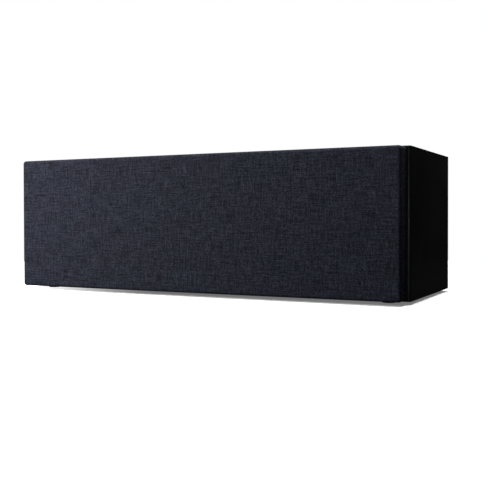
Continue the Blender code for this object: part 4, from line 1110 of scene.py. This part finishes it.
def make_inlet():
    """A two-pin mains inlet: a well with a figure-of-eight tongue space and two pins."""
    low, high, place, *_ = measure("mains_inlet")
    well = window(place.x, place.z, 0.0165, 0.0090, 0.0042, 8)
    flared = window(place.x, place.z, 0.0173, 0.0098, 0.0046, 8)
    floor = high.y - 0.010
    rims = [*prism(well, floor, high.y - 0.0005), (flared, high.y)]
    make_housing("inlet_housing", "mains_inlet", (0.0016, 5), rims)
    for sign, name in ((-1, "inlet_pin_left"), (1, "inlet_pin_right")):
        tip = 0.0012
        profile = [(0, 0.0083), *arc((0, 0.0083 - tip), tip, 90, 0, 6)[1:], (tip, 0), (0, 0)]
        pin = turned_shape(profile, (place.x + sign * 0.0043, floor, place.z), REAR, SMALL_TURN)
        finish_piece(name, pin, "zinc_steel")


def make_switch():
    """The switch's frame, and its paddle with a line and a ring."""
    low, high, place, width, height = measure("power_switch")
    well = window(place.x, place.z, width - 0.0024, height - 0.0024, 0.0005, 3)
    rims = prism(well, high.y - 0.008, high.y)
    make_housing("switch_frame", "power_switch", (0.0010, 4), rims, bevel=0.0003)
    node = frame["nodes"]["power_rocker"]
    shape = bmesh.new()
    shape.from_mesh(node.data)
    bmesh.ops.remove_doubles(shape, verts=shape.verts, dist=1e-6)
    flat = math.radians(1)
    bmesh.ops.dissolve_limit(shape, angle_limit=flat, verts=shape.verts, edges=shape.edges)
    slopes = sorted((face for face in shape.faces if face.normal.y > 0.7),
                    key=lambda face: face.calc_center_median().z)
    marks = [(face.calc_center_median().copy(), face.normal.copy()) for face in slopes]
    finish_piece("switch_paddle", shape, "black_plastic", "rocker", ["power_rocker"],
                 bevel=0.0004, steps=3)
    (off_place, off_slope), (on_place, on_slope) = marks
    thin = (0.00001, 0.00006)
    outer, inner = 0.0013, 0.0013 - INK_LINE
    profile = [(inner, thin[0]), (outer, thin[0]), (outer, thin[1]), (inner, thin[1])]
    off_ring = turned_shape(profile, off_place, off_slope, 40)
    finish_piece("rocker_ring", off_ring, "black_plastic", "rocker", finish="white_print")
    corner = Vector((-INK_LINE / 2, -outer, thin[0]))
    bar = block_shape(corner, Vector((INK_LINE / 2, outer, thin[1])))
    finish_piece("rocker_line", stand(bar, on_place, on_slope), "black_plastic", "rocker",
                 finish="white_print")


def make_button():
    node = "pairing_button"
    low, high, place, width, _ = measure(node)
    radius, length = width / 2, high.y - low.y
    edge, bowl = 0.0006, 0.010
    spread = math.degrees(math.asin((radius - edge) / bowl))
    dish = arc((0, bowl), bowl, 270, 270 + spread, 8)
    top = dish[-1][1]
    profile = [
        (0, dish[0][1] - top), *[(r, z - top) for r, z in dish[1:]],
        *arc((radius - edge, -edge), edge, 90, 0, 5), (radius, -length), (0, -length),
    ]
    shape = turned_shape(profile, (place.x, high.y, place.z), REAR, 64)
    finish_piece("pairing_key", shape, "black_plastic", "button", [node])


def make_lens():
    low, high, place, width, _ = measure("sensor_lens")
    radius, length, bulge = width / 2, high.y - low.y, 0.0121
    spread = math.degrees(math.asin((radius - 0.0005) / bulge))
    profile = [
        (0, -0.0001), *arc((0, -0.0001 - bulge), bulge, 90, 90 - spread, 6)[1:],
        (radius, -0.0014), (radius, -length), (0, -length),
    ]
    shape = turned_shape(profile, (place.x, low.y, place.z), FRONT, 48)
    finish_piece("sensor_window", shape, "smoked_lens", stands_for=["sensor_lens"])


def make_board_parts():
    """Capacitors and chips on the amplifier board."""
    low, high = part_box("circuit_board")
    face = low.x
    cans = ((0.030, 0.012, 0.0085, 0.024), (0.008, 0.014, 0.0062, 0.016),
            (-0.006, 0.030, 0.0050, 0.012), (0.006, 0.034, 0.0050, 0.012))
    for number, (z, along, radius, length) in enumerate(cans):
        centre = Vector((face, low.y + 0.030 + along, Z_MID + z))
        profile = [
            (0, length - 0.0004), (radius * 0.80, length - 0.0004), (radius * 0.86, length),
            *arc((radius - 0.0008, length - 0.0008), 0.0008, 70, 0, 4), (radius, 0.0030),
            (radius * 0.93, 0.0022), (radius, 0.0014), (radius, GAP), (0, GAP),
        ]
        shape = turned_shape(profile, centre, (-1, 0, 0), 40)
        finish_piece(f"capacitor_{number + 1}", shape, "circuit_board", finish="black_plastic")
    chips = ((-0.024, 0.040, 0.010), (-0.030, 0.020, 0.007), (0.034, 0.048, 0.006))
    for number, (z, along, size) in enumerate(chips):
        corner = Vector((face - 0.0016, low.y + along, Z_MID + z))
        chip = block_shape(corner, corner + Vector((0.0015, size, size)))
        finish_piece(f"chip_{number + 1}", chip, "circuit_board", finish="black_plastic",
                     bevel=0.0002)


def paint_kept_nodes():
    """The CAD solids that stay in view take the finish of their own slot."""
    for part in frame["record"]["subparts"]:
        node = frame["nodes"][part["node"]]
        if not node.hide_render:
            node.data.materials.clear()
            node.data.materials.append(FINISHES[part["material_slot"]])


# ---- studio
FLOOR_RADIUS = 0.75
FLOOR_BOUNCE = (0.010, 0.010, 0.010)
# The floor's painted light: a faint glow everywhere, rising to full glow at its left end between
# the two x places of the fade.
FLOOR_GLOW = 0.17
FLOOR_FADE = (-0.21, -0.05)
ROOM_GLOW = 0.004
SUN_STRENGTH, SUN_SPREAD = 3.3, 8.0
# Each light's name, place, target, size and power.
LIGHTS = (
    ("key_left", (-0.74, -0.69, 0.34), (-0.16, -0.08, 0.07), (0.30, 0.30), 11.5),
    ("edge_right", (0.774, -0.797, 0.06), (0.234, -0.077, 0.05), (0.50, 0.12), 0.50),
    ("back_left", (-0.7, 1.1, 0.8), (0, 0.08, 0.08), (0.7, 0.6), 8.0),
    ("back_right", (0.5, 0.95, 1.05), (0.1, 0.08, 0.08), (0.5, 0.5), 4.0),
)
# The camera's angles in degrees, and its place from the middle of the front right edge.
CAMERA_TURN, CAMERA_NOD, CAMERA_ROLL = 26.613, 0.774, -0.118
CAMERA_OFFSET = (0.1976, -0.7481, 0.0060)
LENS = 57.13
LENS_SHIFT = (-0.0014, -0.0428)


def lens_sees(tree, seen, dim, output):
    """The lens sees one shader, and every other ray meets the dim one."""
    path = tree.nodes.new("ShaderNodeLightPath")
    choice = tree.nodes.new("ShaderNodeMixShader")
    tree.links.new(path.outputs["Is Camera Ray"], choice.inputs["Fac"])
    tree.links.new(dim.outputs[0], choice.inputs[1])
    tree.links.new(seen.outputs[0], choice.inputs[2])
    tree.links.new(choice.outputs[0], tree.nodes[output].inputs["Surface"])


def make_floor():
    """A white floor for the lens that throws little light back onto the object, and glows with
    painted light: fully under the cabinet's left end, which hides the shadow there, and faintly
    elsewhere, which lightens the contact shadow.
    """
    shape = bmesh.new()
    bmesh.ops.create_circle(shape, cap_ends=True, segments=96, radius=FLOOR_RADIUS)
    mesh = mesh_of("studio_floor", shape)
    paint = Finish("pale_floor", Roughness=0.9, Specular_IOR_Level=0.0)
    place = paint.add("TexCoord", out="Object")
    mottle = paint.noise(place, 9.0, 2.0)
    paint.feed("Base Color", paint.mix(mottle, (0.93, 0.93, 0.93), (0.95, 0.95, 0.95)))
    dim = paint.tree.nodes.new("ShaderNodeBsdfDiffuse")
    dim.inputs["Color"].default_value = (*FLOOR_BOUNCE, 1)
    lens_sees(paint.tree, paint.shader, dim, "Material Output")
    # Painted light: the floor glows fully beyond the left x place and fades to the faint glow past
    # the right one, lightening the shadow under the cabinet.
    away = 1.0 - paint.add("SeparateXYZ", None, {"Vector": place}).stretched(*FLOOR_FADE)
    painted_glow = away * away * (1.0 - FLOOR_GLOW) + FLOOR_GLOW
    paint.feed("Emission Color", paint.mix(painted_glow, (0.0, 0.0, 0.0), (1.0, 1.0, 1.0)))
    paint.shader.inputs["Emission Strength"].default_value = 1.0
    mesh.materials.append(paint.material)
    put("studio_floor", mesh)


def add_light(name, place, target, size, power):
    """A soft rectangular light that faces its target."""
    data = bpy.data.lights.new(name, "AREA")
    data.shape = "RECTANGLE"
    data.size, data.size_y = size
    data.energy = power
    light = put(name, data)
    light.location = place
    light.rotation_euler = (Vector(target) - Vector(place)).to_track_quat("-Z", "Y").to_euler()


def make_world():
    """A white surround that the lens sees, and a dim one that lights the object."""
    world = bpy.data.worlds.new("studio")
    bpy.context.scene.world = world
    world.use_nodes = True
    tree = world.node_tree
    seen = tree.nodes["Background"]
    seen.inputs["Color"].default_value = (1, 1, 1, 1)
    seen.inputs["Strength"].default_value = 1.0
    dim = tree.nodes.new("ShaderNodeBackground")
    dim.inputs["Color"].default_value = (1, 1, 1, 1)
    dim.inputs["Strength"].default_value = ROOM_GLOW
    lens_sees(tree, seen, dim, "World Output")


def add_sun(name, strength, spread):
    """Even light straight from above."""
    data = bpy.data.lights.new(name, "SUN")
    data.energy = strength
    data.angle = math.radians(spread)
    put(name, data)


def make_lights():
    add_sun("overhead", SUN_STRENGTH, SUN_SPREAD)
    for light in LIGHTS:
        add_light(*light)


def make_camera():
    """At the object's front right, a little above its middle, looking along its front."""
    turn, nod, roll = (math.radians(a) for a in (CAMERA_TURN, CAMERA_NOD, CAMERA_ROLL))
    corner = Vector((CABINET[1].x, CABINET[0].y, (CABINET[0].z + CABINET[1].z) / 2))
    flat = math.cos(nod)
    ahead = Vector((-math.sin(turn) * flat, math.cos(turn) * flat, -math.sin(nod)))
    data = bpy.data.cameras.new("camera")
    data.sensor_width = 36.0
    data.lens = LENS
    data.shift_x, data.shift_y = LENS_SHIFT
    camera = put("camera", data)
    camera.location = corner + Vector(CAMERA_OFFSET)
    level = ahead.to_track_quat("-Z", "Y")
    camera.rotation_euler = (level @ Quaternion((0, 0, 1), roll)).to_euler()
    bpy.context.scene.camera = camera
    bpy.context.scene.view_settings.view_transform = "Standard"


make_camera()
make_cabinet()
make_feet()
make_cloth()
make_grille_frame()
make_cups()
make_baffle()
make_rear_board()
for side_name, _ in SIDES:
    make_woofer(side_name)
    make_tweeter(side_name)
make_ports()
make_plate()
make_print()
make_hdmi()
make_optical()
make_aux()
make_inlet()
make_switch()
make_button()
make_lens()
make_board_parts()
paint_kept_nodes()
make_floor()
make_world()
make_lights()
